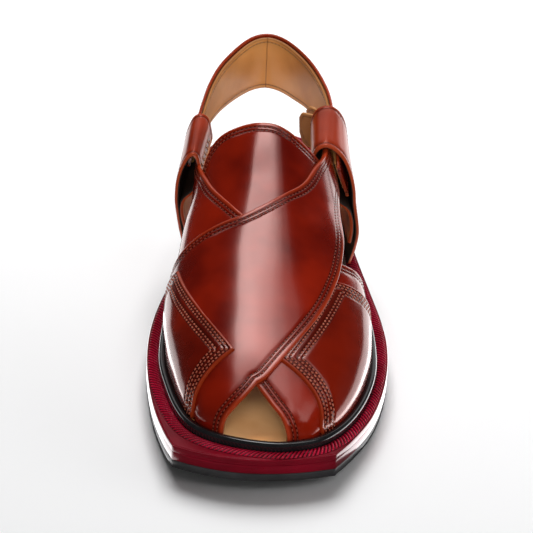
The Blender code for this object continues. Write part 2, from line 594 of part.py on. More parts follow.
def build_upper(leather):
    """Under strap, over strap and side panels, sewn into one wall."""
    grid = strap_grid(UNDER_STRAP, 27, 11)
    level = np.zeros(grid.shape[:2])
    under = on_last_shell("upper", grid, level, level + STRAP_LEATHER, leather)
    grid = strap_grid(OVER_STRAP, 28, 12)
    inner, outer = over_walls(grid[..., 0], grid[..., 1])
    over = on_last_shell("over_strap", grid, inner, outer, leather)
    grid = panel_grid(MEDIAL_PANEL, MEDIAL_PANEL_BOW, 13, 9)
    outer = over_walls(grid[..., 0], grid[..., 1])[1]
    medial = on_last_shell("medial_panel", grid, outer - SUNK, outer + PANEL_STEP, leather)
    grid = panel_grid(LATERAL_PANEL, LATERAL_PANEL_BOW, 13, 9)
    outer = np.full(grid.shape[:2], STRAP_LEATHER)
    lateral = on_last_shell("lateral_panel", grid, outer - SUNK, outer + PANEL_STEP, leather)
    for piece in (over, medial, lateral):
        join(under, piece)


def build_tongue(leather):
    """The broad tongue under the crossing, its top edge rounded."""
    grid = strap_grid(TONGUE, 17, 9)
    level = np.full(grid.shape[:2], -TONGUE_DEPTH)
    on_last_shell("tongue", grid, level - TONGUE_LEATHER, level, leather)


def build_band(name, table, counts, thickness, leather, edge=0.0):
    """A strap of even thickness about the middle surface between its two edges."""
    along, across = counts
    edges = through(table, along)
    share = np.linspace(0, 1, across)[None, :, None]
    points = edges[:, None, :3] * (1 - share) + edges[:, None, 3:] * share
    thicken(sheet(name, points, leather), thickness, offset=0.0, edge=edge)


def build_keeper(name, side, rows, leather):
    """A flat strap that stands on the welt, folds over the heel strap and is sewn down below it."""
    table = np.array([row[1:] for row in rows], float)
    for column, distance in ((1, KEEPER_FOOT[side]), (3, KEEPER_FOOT[side] + KEEPER_WIDTH)):
        table[0, column] = underside(distance) + UNDERSIDE_TOP + 4 * GAP
    lines = through(table, 40)
    share = np.linspace(0, 1, 4)[None, :]
    x = side * (lines[:, 0, None] * (1 - share) + lines[:, 2, None] * share)
    height = lines[:, 1, None] * (1 - share) + lines[:, 3, None] * share
    climb = (height - KEEPER_FOOT_HEIGHT) / (KEEPER_CROWN_HEIGHT - KEEPER_FOOT_HEIGHT)
    distance = KEEPER_FOOT[side] + (KEEPER_HIGH[side] - KEEPER_FOOT[side]) * climb + KEEPER_WIDTH * share
    points = np.stack([x, distance, height], -1)
    thicken(sheet(name, points, leather), KEEPER_LEATHER, offset=0.0)


def new_collection(name):
    collection = bpy.data.collections.new(name)
    bpy.context.scene.collection.children.link(collection)
    return collection


for old in list(bpy.data.objects):
    bpy.data.objects.remove(old, do_unlink=True)
PARTS = new_collection("norozi_chappal")
CUTTERS = new_collection("cutters")
upper_leather = finish("upper_leather", (0.26, 0.030, 0.010), 0.28)
strap_lining = finish("strap_lining", (0.56, 0.34, 0.15), 0.62)
crimson_leather = finish("crimson_leather", (0.24, 0.006, 0.030), 0.35)
black_rubber = finish("black_rubber", (0.012, 0.012, 0.013), 0.42)

build_sole(black_rubber, crimson_leather, strap_lining)
build_upper(upper_leather)
build_tongue(upper_leather)
build_band("heel_strap", HEEL_STRAP, (42, 4), HEEL_STRAP_THICK, upper_leather, edge=0.6)
build_band("strap_tail", STRAP_TAIL, (38, 2), TAIL_LEATHER, strap_lining)
build_keeper("keeper_medial", MEDIAL, MEDIAL_KEEPER, upper_leather)
build_keeper("keeper_lateral", LATERAL, LATERAL_KEEPER, upper_leather)
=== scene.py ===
"""Norozi chappal, left shoe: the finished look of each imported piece, from the sole up to the straps."""
import bmesh
import bpy
import numpy as np
from mathutils import Matrix, Vector


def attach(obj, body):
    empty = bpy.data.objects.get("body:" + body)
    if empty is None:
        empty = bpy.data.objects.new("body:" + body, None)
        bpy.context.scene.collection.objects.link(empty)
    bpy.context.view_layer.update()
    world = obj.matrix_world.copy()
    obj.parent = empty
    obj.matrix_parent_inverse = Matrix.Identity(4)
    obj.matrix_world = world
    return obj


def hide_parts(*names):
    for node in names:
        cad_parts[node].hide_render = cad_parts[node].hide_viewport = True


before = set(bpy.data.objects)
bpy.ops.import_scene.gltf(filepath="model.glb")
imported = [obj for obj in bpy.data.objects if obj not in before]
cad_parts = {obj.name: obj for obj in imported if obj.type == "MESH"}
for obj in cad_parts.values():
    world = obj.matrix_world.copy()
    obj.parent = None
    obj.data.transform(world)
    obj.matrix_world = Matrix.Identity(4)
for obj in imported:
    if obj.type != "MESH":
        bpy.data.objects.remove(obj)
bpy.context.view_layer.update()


# ---- Outsole -------------------------------------------------------------------------------------
# A moulded black rubber sole with a square toe shelf, a toe spring and a raised waist. Its underside
# carries a roped tread: two border channels, sweeping grooves over the forefoot and fine ribs.
# It is cemented below the midsole, and tables are in millimetres from the tip of the toe.
MM = 0.001
MEDIAL, LATERAL = -1, 1
SOLE_LENGTH = 286.0
TOE_SPRING, SPRING_END = 4.0, 62.0
HEEL_RISE, WAIST_START, WAIST_END = 6.5, 115.0, 195.0
OUTSOLE_THICK, JOINT_GAP = 4.2, 0.3
SOLE_ROWS = [   # distance, medial edge, lateral edge
    (22, -47.5, 41.0), (40, -52.5, 49.5), (60, -56.0, 55.0), (80, -57.8, 57.8),
    (100, -57.6, 58.0), (120, -55.0, 55.5), (140, -50.0, 51.0), (160, -43.5, 46.0),
    (180, -38.0, 41.5), (200, -35.5, 37.5), (225, -36.0, 34.0), (250, -36.5, 32.0),
    (268, -31.5, 26.5), (280, -20.0, 15.0), (286, -2.5, -2.5),
]
TOE_CORNER = {MEDIAL: (-43.0, 10.0), LATERAL: (32.0, 7.0)}
TOE_TIP = (-5.0, 0.0)


def catmull(points, count):
    """Catmull-Rom curve through points[1:-1], whose end points only set the end slopes:
    half of 2 p1 + (p2 - p0) u + (2 p0 - 5 p1 + 4 p2 - p3) u^2 + (3 p1 - p0 - 3 p2 + p3) u^3."""
    points = np.asarray(points, float)
    spans = len(points) - 3
    t = np.linspace(0, spans, count)
    i = np.minimum(t.astype(int), spans - 1)
    u = (t - i)[:, None]
    p0, p1, p2, p3 = points[i], points[i + 1], points[i + 2], points[i + 3]
    return 0.5 * (2 * p1 + (p2 - p0) * u + (2 * p0 - 5 * p1 + 4 * p2 - p3) * u ** 2
                  + (3 * p1 - p0 - 3 * p2 + p3) * u ** 3)


def through(points, count):
    """The same curve through every point, its end slopes carried straight on."""
    points = np.asarray(points, float)
    return catmull(np.vstack([2 * points[0] - points[1], points, 2 * points[-1] - points[-2]]), count)


def lengths_along(curve):
    """The length along a curve from its start to each of its points."""
    return np.concatenate([[0.0], np.cumsum(np.linalg.norm(np.diff(curve, axis=0), axis=1))])


def spaced(curve, count):
    """The curve again with count points at equal lengths along it."""
    along = lengths_along(curve)
    even = np.linspace(0, along[-1], count)
    return np.stack([np.interp(even, along, curve[:, k]) for k in range(curve.shape[1])], 1)


def smoothstep(x, low, high):
    """0 below low, 1 above high, and 3 t^2 - 2 t^3 between them."""
    t = np.clip((np.asarray(x, float) - low) / (high - low), 0, 1)
    return t * t * (3 - 2 * t)


def bell(x, centre, width):
    """exp(-((x - centre) / width)^2)."""
    return np.exp(-((x - centre) / width) ** 2)


def underside(distance):
    """Height of the sole's lower face: a parabola at the toe, level at the ball, a step up at the waist."""
    spring = TOE_SPRING * np.clip((SPRING_END - distance) / SPRING_END, 0, None) ** 2
    return spring + HEEL_RISE * smoothstep(distance, WAIST_START, WAIST_END)


def sole_half(side, front_count=46, side_count=330):
    """Plan curve (x, distance) of one side: a parabola along the toe, a corner, then a spline to the heel."""
    column, other = (1, 2) if side == MEDIAL else (2, 1)
    corner, tip = np.array(TOE_CORNER[side]), np.array(TOE_TIP)
    x = np.linspace(tip[0], corner[0], front_count)
    front = np.stack([x, tip[1] + (corner[1] - tip[1]) * ((x - tip[0]) / (corner[0] - tip[0])) ** 2], 1)
    rows = [(row[column], row[0]) for row in SOLE_ROWS]
    beyond = (SOLE_ROWS[-2][other], SOLE_ROWS[-2][0])
    run = spaced(catmull([2 * corner - np.array(rows[0]), corner] + rows + [beyond], 3000), side_count)
    return np.vstack([front[:-1], run])


def unit(vectors):
    """The vectors, each divided by its length."""
    return vectors / np.linalg.norm(vectors, axis=-1, keepdims=True)


def inset(curve, side, distance):
    """A plan curve moved towards the middle of the shoe along its normal, its two ends along the shoe."""
    tangent = unit(np.gradient(curve, axis=0))
    inward = np.stack([tangent[:, 1], -tangent[:, 0]], 1) * -side
    inward[0], inward[-1] = (0, 1), (0, -1)
    return curve + inward * np.asarray(distance, float)


def grid_faces(rows, columns, closed=False):
    """Quads of a grid numbered row by row; closed joins the last column to the first."""
    spans = columns if closed else columns - 1
    i, j = np.meshgrid(np.arange(rows - 1), np.arange(spans), indexing="ij")
    k = (j + 1) % columns
    here, ahead = i * columns, (i + 1) * columns
    return np.stack([here + j, ahead + j, ahead + k, here + k], -1).reshape(-1, 4)


WELD_REACH, SLIVER_REACH, SHARP_ANGLE = 0.004, 0.001, 42.0      # millimetres, and degrees


def piece(name, points, faces, materials, stands_for=(), face_slots=None, marks=None):
    """A piece from points in table millimetres and quads, closed, with its faces turned outwards.

    stands_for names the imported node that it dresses, face_slots gives each face one of the materials,
    and marks holds values stored on the points for the materials to read.
    """
    points = np.array(points, float).reshape(-1, 3)
    points[:, 1] -= SOLE_LENGTH / 2
    faces = np.asarray(faces)
    mesh = bpy.data.meshes.new(name)
    mesh.vertices.add(len(points))
    mesh.vertices.foreach_set("co", (points * MM).ravel())
    mesh.loops.add(faces.size)
    mesh.loops.foreach_set("vertex_index", faces.ravel().astype(np.int32))
    mesh.polygons.add(len(faces))
    mesh.polygons.foreach_set("loop_start", np.arange(len(faces), dtype=np.int32) * 4)
    if face_slots is not None:
        mesh.polygons.foreach_set("material_index", np.asarray(face_slots, dtype=np.int32))
    for key, values in (marks or {}).items():
        stored = mesh.attributes.new(key, "FLOAT", "POINT")
        stored.data.foreach_set("value", np.ravel(values).astype(np.float32))
    mesh.update(calc_edges=True)
    work = bmesh.new()
    work.from_mesh(mesh)
    bmesh.ops.remove_doubles(work, verts=work.verts, dist=WELD_REACH * MM)
    bmesh.ops.dissolve_degenerate(work, edges=work.edges, dist=SLIVER_REACH * MM)
    bmesh.ops.recalc_face_normals(work, faces=work.faces)
    work.to_mesh(mesh)
    work.free()
    mesh.polygons.foreach_set("use_smooth", np.ones(len(mesh.polygons), bool))
    mesh.set_sharp_from_angle(angle=np.radians(SHARP_ANGLE))
    for material in materials:
        mesh.materials.append(material)
    obj = bpy.data.objects.new(name, mesh)
    bpy.context.scene.collection.objects.link(obj)
    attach(obj, "root")
    if stands_for:
        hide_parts(*stands_for)
    return obj


def nodes_of(tree):
    """A short way to add a node: its kind, its settings, and values or links for its inputs, which are
    called by name with underscores for spaces, or by number as _0."""
    def add(kind, settings=None, **inputs):
        node = tree.nodes.new(kind)
        for key, value in (settings or {}).items():
            setattr(node, key, value)
        for key, value in inputs.items():
            socket = node.inputs[int(key[1:]) if key[0] == "_" else key.replace("_", " ")]
            if isinstance(value, bpy.types.NodeSocket):
                tree.links.new(value, socket)
            else:
                socket.default_value = value
        return node
    return add


def ramp(add, value, stops):
    """A soft colour ramp of (place, colour) stops."""
    node = add("ShaderNodeValToRGB", Fac=value)
    node.color_ramp.interpolation = "EASE"
    for index, (place, colour) in enumerate(stops):
        element = node.color_ramp.elements[index] if index < 2 else node.color_ramp.elements.new(place)
        element.position, element.color = place, (*colour, 1.0)
    return node.outputs["Color"]


def times(add, value, factor):
    """A value multiplied by a factor."""
    return add("ShaderNodeMath", {"operation": "MULTIPLY"}, _0=value, _1=factor).outputs[0]


PORE_SHARE, GRAIN_HEIGHT = 0.6, 0.0004      # the height is in metres


def grain_group():
    """Grain and scuffs shared by all the materials: two noises for the bump, a soft one for the colour."""
    tree = bpy.data.node_groups.new("surface_grain", "ShaderNodeTree")
    for label, default in (("Grain size", 900.0), ("Cloud size", 30.0), ("Depth", 0.1)):
        socket = tree.interface.new_socket(label, in_out="INPUT", socket_type="NodeSocketFloat")
        socket.default_value = default
    for label, kind in (("Cloud", "Float"), ("Speck", "Float"), ("Normal", "Vector")):
        tree.interface.new_socket(label, in_out="OUTPUT", socket_type="NodeSocket" + kind)
    add = nodes_of(tree)
    given, out = add("NodeGroupInput"), add("NodeGroupOutput")
    place, grain_size = add("ShaderNodeTexCoord").outputs["Object"], given.outputs["Grain size"]
    cloud = add("ShaderNodeTexNoise", Vector=place, Scale=given.outputs["Cloud size"], Detail=3.0,
                Roughness=0.55)
    speck = add("ShaderNodeTexNoise", Vector=place, Scale=grain_size, Detail=2.0, Roughness=0.6)
    pores = add("ShaderNodeTexVoronoi", {"feature": "F1"}, Vector=place, Scale=grain_size)
    height = add("ShaderNodeMath", {"operation": "ADD"}, _0=speck.outputs["Fac"],
                 _1=times(add, pores.outputs["Distance"], PORE_SHARE))
    bump = add("ShaderNodeBump", Strength=given.outputs["Depth"], Distance=GRAIN_HEIGHT,
               Height=height.outputs[0])
    for label, socket in (("Cloud", cloud.outputs["Fac"]), ("Speck", speck.outputs["Fac"]),
                          ("Normal", bump.outputs["Normal"])):
        tree.links.new(socket, out.inputs[label])
    return tree


GRAIN = grain_group()
CLOUD_DARK, CLOUD_LIGHT = 0.3, 0.7      # the values of the cloud that give the two colours


def grained_parts(name, dark, light, roughness, grain, cloud, depth, spread=0.08, **shader_values):
    """A material whose colour drifts between dark and light with the clouds of the shared grain. Its
    tree, its way to add nodes, its shader and its colour are returned too, for what a finish adds."""
    material = bpy.data.materials.new(name)
    material.use_nodes = True
    tree = material.node_tree
    tree.nodes.clear()
    add = nodes_of(tree)
    group = add("ShaderNodeGroup", {"node_tree": GRAIN}, Grain_size=grain, Cloud_size=cloud, Depth=depth)
    colour = ramp(add, group.outputs["Cloud"], [(CLOUD_DARK, dark), (CLOUD_LIGHT, light)])
    rough = add("ShaderNodeMapRange", Value=group.outputs["Speck"], To_Min=roughness - spread,
                To_Max=roughness + spread)
    shader = add("ShaderNodeBsdfPrincipled", Base_Color=colour, Roughness=rough.outputs[0],
                 Normal=group.outputs["Normal"], **shader_values)
    out = add("ShaderNodeOutputMaterial")
    tree.links.new(shader.outputs[0], out.inputs["Surface"])
    return material, tree, add, shader, colour


def grained(*colours, **values):
    """The same material where a finish adds nothing to it."""
    return grained_parts(*colours, **values)[0]


tread_rubber = grained("tread_rubber", (0.018, 0.017, 0.018), (0.034, 0.033, 0.034), roughness=0.50,
                       grain=700.0, cloud=40.0, depth=0.12)
GROOVES = {
    "toe_band": [(-42, 19.5), (-5, 17.0), (33, 17.5)],
    "medial_lens": [(-45, 50), (-34, 68), (-30.5, 92), (-35, 114), (-43, 130)],
    "medial_sweep": [(-36, 27), (-22, 55), (-16.5, 85), (-20, 117), (-34, 147)],
    "middle": [(-6, 18), (-3, 60), (-1, 105), (-5, 153)],
    "lateral_sweep": [(25, 25), (17, 55), (14.5, 85), (19, 117), (32, 147)],
    "lateral_lens": [(45, 54), (34, 71), (30.5, 92), (34, 112), (43, 127)],
    "back": [(-42, 142), (-24, 150.5), (0, 153.5), (24, 150.5), (42, 143)],
}
BORDER_CHANNEL, CHANNEL_DEPTH, CHANNEL_WIDTH = 5.2, 0.8, 0.7      # how far in from the edge, and its section
BORDER_ROPE, ROPE_CUT_DEPTH, ROPE_CUT_WIDTH = 9.6, 0.7, 0.9
GROOVE_DEPTH, GROOVE_WIDTH = 1.15, 1.0
RIB_PITCH, RIB_DEPTH, RIB_WIDTH, RIB_START = 7.5, 0.32, 0.62, 17.0
RIB_FAN, RIB_FAN_MIDDLE = 0.0016, 90.0      # the ribs spread a little from this distance back


def line_distance(points, line, batch=4000):
    """Distance from each point to a polyline: the nearest of its points, then the two pieces beside it."""
    flat = points.reshape(-1, points.shape[-1])
    result = np.empty(len(flat))
    for start in range(0, len(flat), batch):
        part = flat[start:start + batch]
        near = np.argmin(((part[:, None, :] - line[None]) ** 2).sum(-1), axis=1)
        best = np.full(len(part), np.inf)
        for first in (np.clip(near - 1, 0, len(line) - 2), np.clip(near, 0, len(line) - 2)):
            a, b = line[first], line[first + 1]
            share = ((part - a) * (b - a)).sum(-1) / np.maximum(((b - a) ** 2).sum(-1), 1e-12)
            foot = a + np.clip(share, 0, 1)[:, None] * (b - a)
            best = np.minimum(best, np.linalg.norm(part - foot, axis=1))
        result[start:start + batch] = best
    return result.reshape(points.shape[:-1])


def groove_line(points):
    """The middle line of a groove through its few table points."""
    return spaced(through(points, 200), 120)


def tread_depth(plan):
    """How far the rubber is cut in at points of the plan: two bell-shaped channels along the border, and
    inside them the deeper of a groove, exp(-(distance / width)^4), and a bell-shaped fine rib."""
    x, distance, edge = plan[..., 0], plan[..., 1], line_distance(plan, outline)
    border = CHANNEL_DEPTH * bell(edge, BORDER_CHANNEL, CHANNEL_WIDTH)
    border += ROPE_CUT_DEPTH * bell(edge, BORDER_ROPE, ROPE_CUT_WIDTH)
    inside = smoothstep(edge, BORDER_ROPE, BORDER_ROPE + 1.5)
    cuts = np.zeros(x.shape)
    for points in GROOVES.values():
        near = line_distance(plan, groove_line(points)) / GROOVE_WIDTH
        cuts = np.maximum(cuts, GROOVE_DEPTH * np.exp(-near ** 4))
    fan = x * (1 + RIB_FAN * (distance - RIB_FAN_MIDDLE))
    ribs = RIB_DEPTH * bell(np.mod(fan, RIB_PITCH), RIB_PITCH / 2, RIB_WIDTH)
    ribs *= smoothstep(distance, RIB_START, RIB_START + 4)
    return border + inside * np.maximum(cuts, ribs)


def zip_faces(loop):
    """Quads that close a ring of points: its first joined with its last, its second with its last but one."""
    half = np.arange(len(loop) // 2 - 1)
    return np.stack([loop[half], loop[half + 1], loop[-2 - half], loop[-1 - half]], 1)


def uncut(plan):
    """The carving of a plain face."""
    return 0.0


def unmarked(points):
    """The marks of a piece whose material reads none."""
    return {}


def same_thickness(thickness):
    """A layer's thickness by distance, the same all along the shoe."""
    return lambda distance: thickness + 0 * distance


def sole_layer(name, node, halves, low, thick, wall, material, lower=(2, uncut), upper=(2, uncut),
               marks=unmarked):
    """A layer of the sole, its section carried from the front to the heel: the lower face, one wall after
    a profile of (inset, share of the height), the upper face, the other wall. lower and upper are each
    face's number of columns, even below and crowded to the walls as (1 - cos) / 2 above, and its carving."""
    def face(share, carve, depth, height):
        """Points at shares across the layer, at a height in it and inset by a depth, then carved."""
        share = share[None, :, None]
        plan = inset(halves[MEDIAL], MEDIAL, depth)[:, None] * (1 - share) \
            + inset(halves[LATERAL], LATERAL, depth)[:, None] * share
        z = low(plan[..., 1]) + thick(plan[..., 1]) * height + carve(plan)
        return np.concatenate([plan, z[..., None]], -1)

    crowded = (1 - np.cos(np.linspace(0, np.pi, upper[0]))) / 2
    columns = [face(np.linspace(0, 1, lower[0]), lower[1], wall[0][0], wall[0][1])]
    for side, steps in ((LATERAL, wall[1:-1]), (MEDIAL, wall[-2:0:-1])):
        for depth, height in steps:
            plan = inset(halves[side], side, depth)
            z = low(plan[:, 1]) + thick(plan[:, 1]) * height
            columns.append(np.concatenate([plan, z[:, None]], -1)[:, None])
        if side == LATERAL:
            columns.append(face(crowded, upper[1], wall[-1][0], wall[-1][1])[:, ::-1])
    points = np.concatenate(columns, 1)
    rows, count = points.shape[:2]
    faces = grid_faces(rows, count, closed=True)
    if not np.allclose(halves[MEDIAL][0], halves[LATERAL][0]):
        faces = np.concatenate([faces, zip_faces(np.arange(count))])
    return piece(name, points, faces, [material], (node,), marks=marks(points))


whole_sole = {side: sole_half(side) for side in (MEDIAL, LATERAL)}
outline = np.vstack([whole_sole[MEDIAL][::-1], whole_sole[LATERAL][1:]])
OUTSOLE_WALL = [(0.7, 0.0), (0.25, 0.05), (0.0, 0.16), (-0.05, 0.5), (0.0, 0.88), (0.3, 1.0)]
sole_layer("outsole_tread", "outsole", whole_sole, underside, same_thickness(OUTSOLE_THICK), OUTSOLE_WALL,
           tread_rubber, lower=(132, tread_depth))
STITCH_TIP = 0.06       # a stitch's width at its ends, as a share of its middle's


def stitch_row(centres, tangents, normals, size, sides=6, rings=4):
    """One small spindle for each stitch: rings of sides points round the thread's run, narrowed to its
    ends by the square root of 1 - t^2. size is its length, width and height."""
    t = np.linspace(-1, 1, rings + 1)
    turn = np.linspace(0, 2 * np.pi, sides, endpoint=False)
    wide = np.sqrt(np.clip(1 - t ** 2, 0, 1)) * (1 - STITCH_TIP) + STITCH_TIP
    length, width, height = (part / 2 for part in size)
    across = np.cross(normals, tangents)
    points = (centres[:, None, None] + tangents[:, None, None] * (t * length)[None, :, None, None]
              + across[:, None, None] * (wide[:, None] * np.cos(turn) * width)[None, ..., None]
              + normals[:, None, None] * (wide[:, None] * np.sin(turn) * height)[None, ..., None])
    one = np.concatenate([grid_faces(rings + 1, sides, closed=True), zip_faces(np.arange(sides)),
                          zip_faces(np.arange(sides) + rings * sides)[:, ::-1]])
    faces = one[None] + (np.arange(len(centres)) * (rings + 1) * sides)[:, None, None]
    return points.reshape(-1, 3), faces.reshape(-1, 4)


def thread(name, rows, size, material, lean=0.0):
    """Stitches of one seam as a piece. rows holds (centres, tangents, normals); lean turns each stitch
    about the normal, as on a lock stitch."""
    parts, count = [], 0
    for centres, tangents, normals in rows:
        turned = tangents * np.cos(lean) + np.cross(normals, tangents) * np.sin(lean)
        points, faces = stitch_row(centres, turned, normals, size)
        parts.append((points, faces + count))
        count += len(points)
    points, faces = (np.vstack(both) for both in zip(*parts))
    return piece(name, points, faces, [material])


def run_frames(line, normals, pitch):
    """Even stations along a line of points: the place, direction and normal of each stitch."""
    along = lengths_along(line)
    even = (np.arange(int(along[-1] / pitch)) + 0.5) * pitch
    at = lambda values, where: np.stack([np.interp(where, along, values[:, k]) for k in range(3)], 1)
    tangents = unit(at(line, even + pitch / 4) - at(line, even - pitch / 4))
    up = at(normals, even)
    up -= (up * tangents).sum(-1)[:, None] * tangents
    return at(line, even), tangents, unit(up)


def under_frames(plan, heights, pitch):
    """Stations along a line on the underside, at a height or at one for each point, facing down."""
    line = np.concatenate([plan, np.broadcast_to(heights, len(plan))[:, None]], 1)
    return run_frames(line, np.tile((0.0, 0.0, -1.0), (len(line), 1)), pitch)


def tread_frames(plan, sink, pitch):
    """Stations of a moulded rope or stitch, sunk into the tread."""
    return under_frames(plan, underside(plan[:, 1]) + sink, pitch)


ROPE_SINK, ROPE_SIZE, ROPE_PITCH, ROPE_LEAN = 0.75, (2.5, 0.95, 0.8), 2.3, 0.35
TREAD_STITCH_SINK, TREAD_STITCH_SIZE, TREAD_STITCH_PITCH = 0.55, (2.4, 0.7, 0.6), 3.4
TREAD_END = 184.0
# The border's rope leaves the middle of the toe free, and its channel is stitched as far as the waist.
border_lines = [inset(whole_sole[side], side, BORDER_ROPE)[20:-4] for side in (MEDIAL, LATERAL)]
rope_lines = [line[line[:, 1] < TREAD_END] for line in border_lines]
rope_lines += [groove_line(points) for points in GROOVES.values()]
thread("tread_rope", [tread_frames(line, ROPE_SINK, ROPE_PITCH) for line in rope_lines], ROPE_SIZE,
       tread_rubber, lean=ROPE_LEAN)
channel_lines = [inset(whole_sole[side], side, BORDER_CHANNEL)[12:232] for side in (MEDIAL, LATERAL)]
thread("tread_border_stitches",
       [tread_frames(line, TREAD_STITCH_SINK, TREAD_STITCH_PITCH) for line in channel_lines],
       TREAD_STITCH_SIZE, tread_rubber)


# ---- Heel block ----------------------------------------------------------------------------------
# A low rubber lift, moulded to the outsole's outline, cut off along a slanted breast and glued on below.
# Its underside has a stitched border, a seam along the breast and one slanting seam.
BREAST_MIDDLE, BREAST_LEAN = 191.5, 0.1875
HEEL_GAP = 0.3
HEEL_CHANNEL_DEPTH, HEEL_ROPE_DEPTH, HEEL_SEAM_DEPTH = 0.7, 0.55, 0.7
HEEL_CUT_WIDTH, HEEL_SEAM_WIDTH = 0.7, 0.8
HEEL_STITCH_HEIGHT, HEEL_STITCH_PITCH = 0.45, 3.2


def heel_half(side, count=150):
    """The sole's plan curve behind the breast line, which runs straight across at a slant."""
    curve = sole_half(side)
    beyond = curve[:, 1] - (BREAST_MIDDLE - BREAST_LEAN * curve[:, 0])
    first = int(np.argmax(beyond > 0))
    share = -beyond[first - 1] / (beyond[first] - beyond[first - 1])
    start = curve[first - 1] + share * (curve[first] - curve[first - 1])
    return spaced(np.vstack([start, curve[first:]]), count)


heel_halves = {side: heel_half(side) for side in (MEDIAL, LATERAL)}
heel_edge = np.vstack([heel_halves[MEDIAL][::-1], heel_halves[LATERAL]])
heel_seams = [spaced(np.array(seam), 60) for seam in (
    [(-34.0, BREAST_MIDDLE + 13.4), (36.0, BREAST_MIDDLE + 0.3)],
    [(26.0, 203.0), (-28.0, 262.0)],
)]


def heel_carving(plan):
    """Rounded channels along the border, the breast seam and the slanting seam."""
    edge = line_distance(plan, heel_edge)
    breast = plan[..., 1] - (BREAST_MIDDLE - BREAST_LEAN * plan[..., 0])
    cut = np.maximum(HEEL_CHANNEL_DEPTH * bell(edge, BORDER_CHANNEL, HEEL_CUT_WIDTH),
                     HEEL_ROPE_DEPTH * bell(edge, BORDER_ROPE, HEEL_CUT_WIDTH))
    for seam in heel_seams:
        cut = np.maximum(cut, HEEL_SEAM_DEPTH * bell(line_distance(plan, seam), 0.0, HEEL_SEAM_WIDTH))
    return cut * smoothstep(breast, 1.0, 4.0)


HEEL_WALL = [(0.7, 0.0), (0.2, 0.04), (0.0, 0.13), (0.0, 0.9), (0.2, 1.0)]
sole_layer("heel_lift", "heel_block", heel_halves, lambda distance: 0 * distance,
           lambda distance: underside(distance) - HEEL_GAP, HEEL_WALL, tread_rubber,
           lower=(96, heel_carving))
heel_border = np.vstack([inset(heel_halves[MEDIAL], MEDIAL, BORDER_CHANNEL)[12:-3],
                         inset(heel_halves[LATERAL], LATERAL, BORDER_CHANNEL)[-3:11:-1]])
thread("heel_stitches",
       [under_frames(line, HEEL_STITCH_HEIGHT, HEEL_STITCH_PITCH) for line in [heel_border] + heel_seams],
       TREAD_STITCH_SIZE, tread_rubber)


# ---- Midsole and welt ----------------------------------------------------------------------------
# Two layers of crimson dyed leatherboard above the rubber. Their edges are trimmed, waxed and glossy,
# with fine tool lines. The welt stands out as a shelf round the upper, with a raised rope stitch in
# bright crimson thread between its rim and the rand.
MIDSOLE_THICK, WELT_THICK = 4.4, 3.2
MIDSOLE_LOW = OUTSOLE_THICK + JOINT_GAP
WELT_LOW = MIDSOLE_LOW + MIDSOLE_THICK + JOINT_GAP
UNDERSIDE_TOP = WELT_LOW + WELT_THICK
LAYER_CLEARANCE = 0.02      # the midsole fills the joint below the welt but for this


def mixed(add, share, colour, other, blend="MIX"):
    """The colour turned into the other by a share, or multiplied by it."""
    settings = {"data_type": "RGBA", "blend_type": blend}
    return add("ShaderNodeMix", settings, _0=share, _6=colour, _7=other).outputs[2]


def stored(add, name):
    """One of the marks on a piece's points."""
    return add("ShaderNodeAttribute", {"attribute_name": name}).outputs["Fac"]


def waxed_edge():
    """Crimson board: streaks along its edge, darker in the tool lines. Its walls are waxed to a gloss."""
    material, tree, add, shader, colour = grained_parts(
        "waxed_crimson_board", (0.085, 0.0006, 0.0045), (0.170, 0.0012, 0.0095), roughness=0.30, grain=500.0,
        cloud=26.0, depth=0.05, spread=0.05, Specular_IOR_Level=0.25, Specular_Tint=(1.0, 0.6, 0.7, 1.0),
        Coat_Roughness=0.12)
    place = add("ShaderNodeTexCoord").outputs["Object"]
    flat = add("ShaderNodeMapping", Vector=place, Scale=(18.0, 18.0, 900.0))
    streak = add("ShaderNodeTexNoise", Vector=flat.outputs[0], Scale=1.0, Detail=2.0)
    tone = ramp(add, streak.outputs["Fac"], [(0.35, (0.55, 0.5, 0.5)), (0.65, (1.0, 1.0, 1.0))])
    tree.links.new(mixed(add, 0.5, colour, tone, "MULTIPLY"), shader.inputs["Base Color"])
    tree.links.new(times(add, stored(add, "wall"), 0.75), shader.inputs["Coat Weight"])
    return material


def wall_mark(points):
    """1 on the walls and 0 on the flat faces, by how far each point stands from the outline."""
    return {"wall": 1 - smoothstep(line_distance(points[..., :2], outline), 0.1, 0.5)}


crimson_board = waxed_edge()


def twisted_thread():
    """Waxed crimson cord: its own colour on the crowns of the twist, and painted shade, nearly black, between
    its strands.
    """
    material, tree, add, shader, colour = grained_parts(
        "crimson_rope_thread", (0.250, 0.0012, 0.0130), (0.390, 0.0030, 0.0280), roughness=0.30, grain=1500.0,
        cloud=60.0, depth=0.2, spread=0.05, Specular_IOR_Level=0.5, Specular_Tint=(1.0, 0.5, 0.6, 1.0))
    # Painted shade: the gaps between the strands are mixed to nearly black by the crown mark.
    strand = mixed(add, stored(add, "crown"), (0.012, 0.0001, 0.0008, 1.0), colour)
    tree.links.new(strand, shader.inputs["Base Color"])
    return material


rope_thread = twisted_thread()


def above_underside(height):
    """A layer's lower face by distance, at a height over the outsole's."""
    return lambda distance: underside(distance) + height


MIDSOLE_WALL = [(0.5, 0.0), (0.06, 0.02), (0.0, 0.09), (0.0, 0.5), (0.0, 0.91), (0.06, 0.98), (0.5, 1.0)]
sole_layer("midsole_edge", "midsole", whole_sole, above_underside(MIDSOLE_LOW),
           same_thickness(MIDSOLE_THICK + JOINT_GAP - LAYER_CLEARANCE), MIDSOLE_WALL, crimson_board,
           marks=wall_mark)

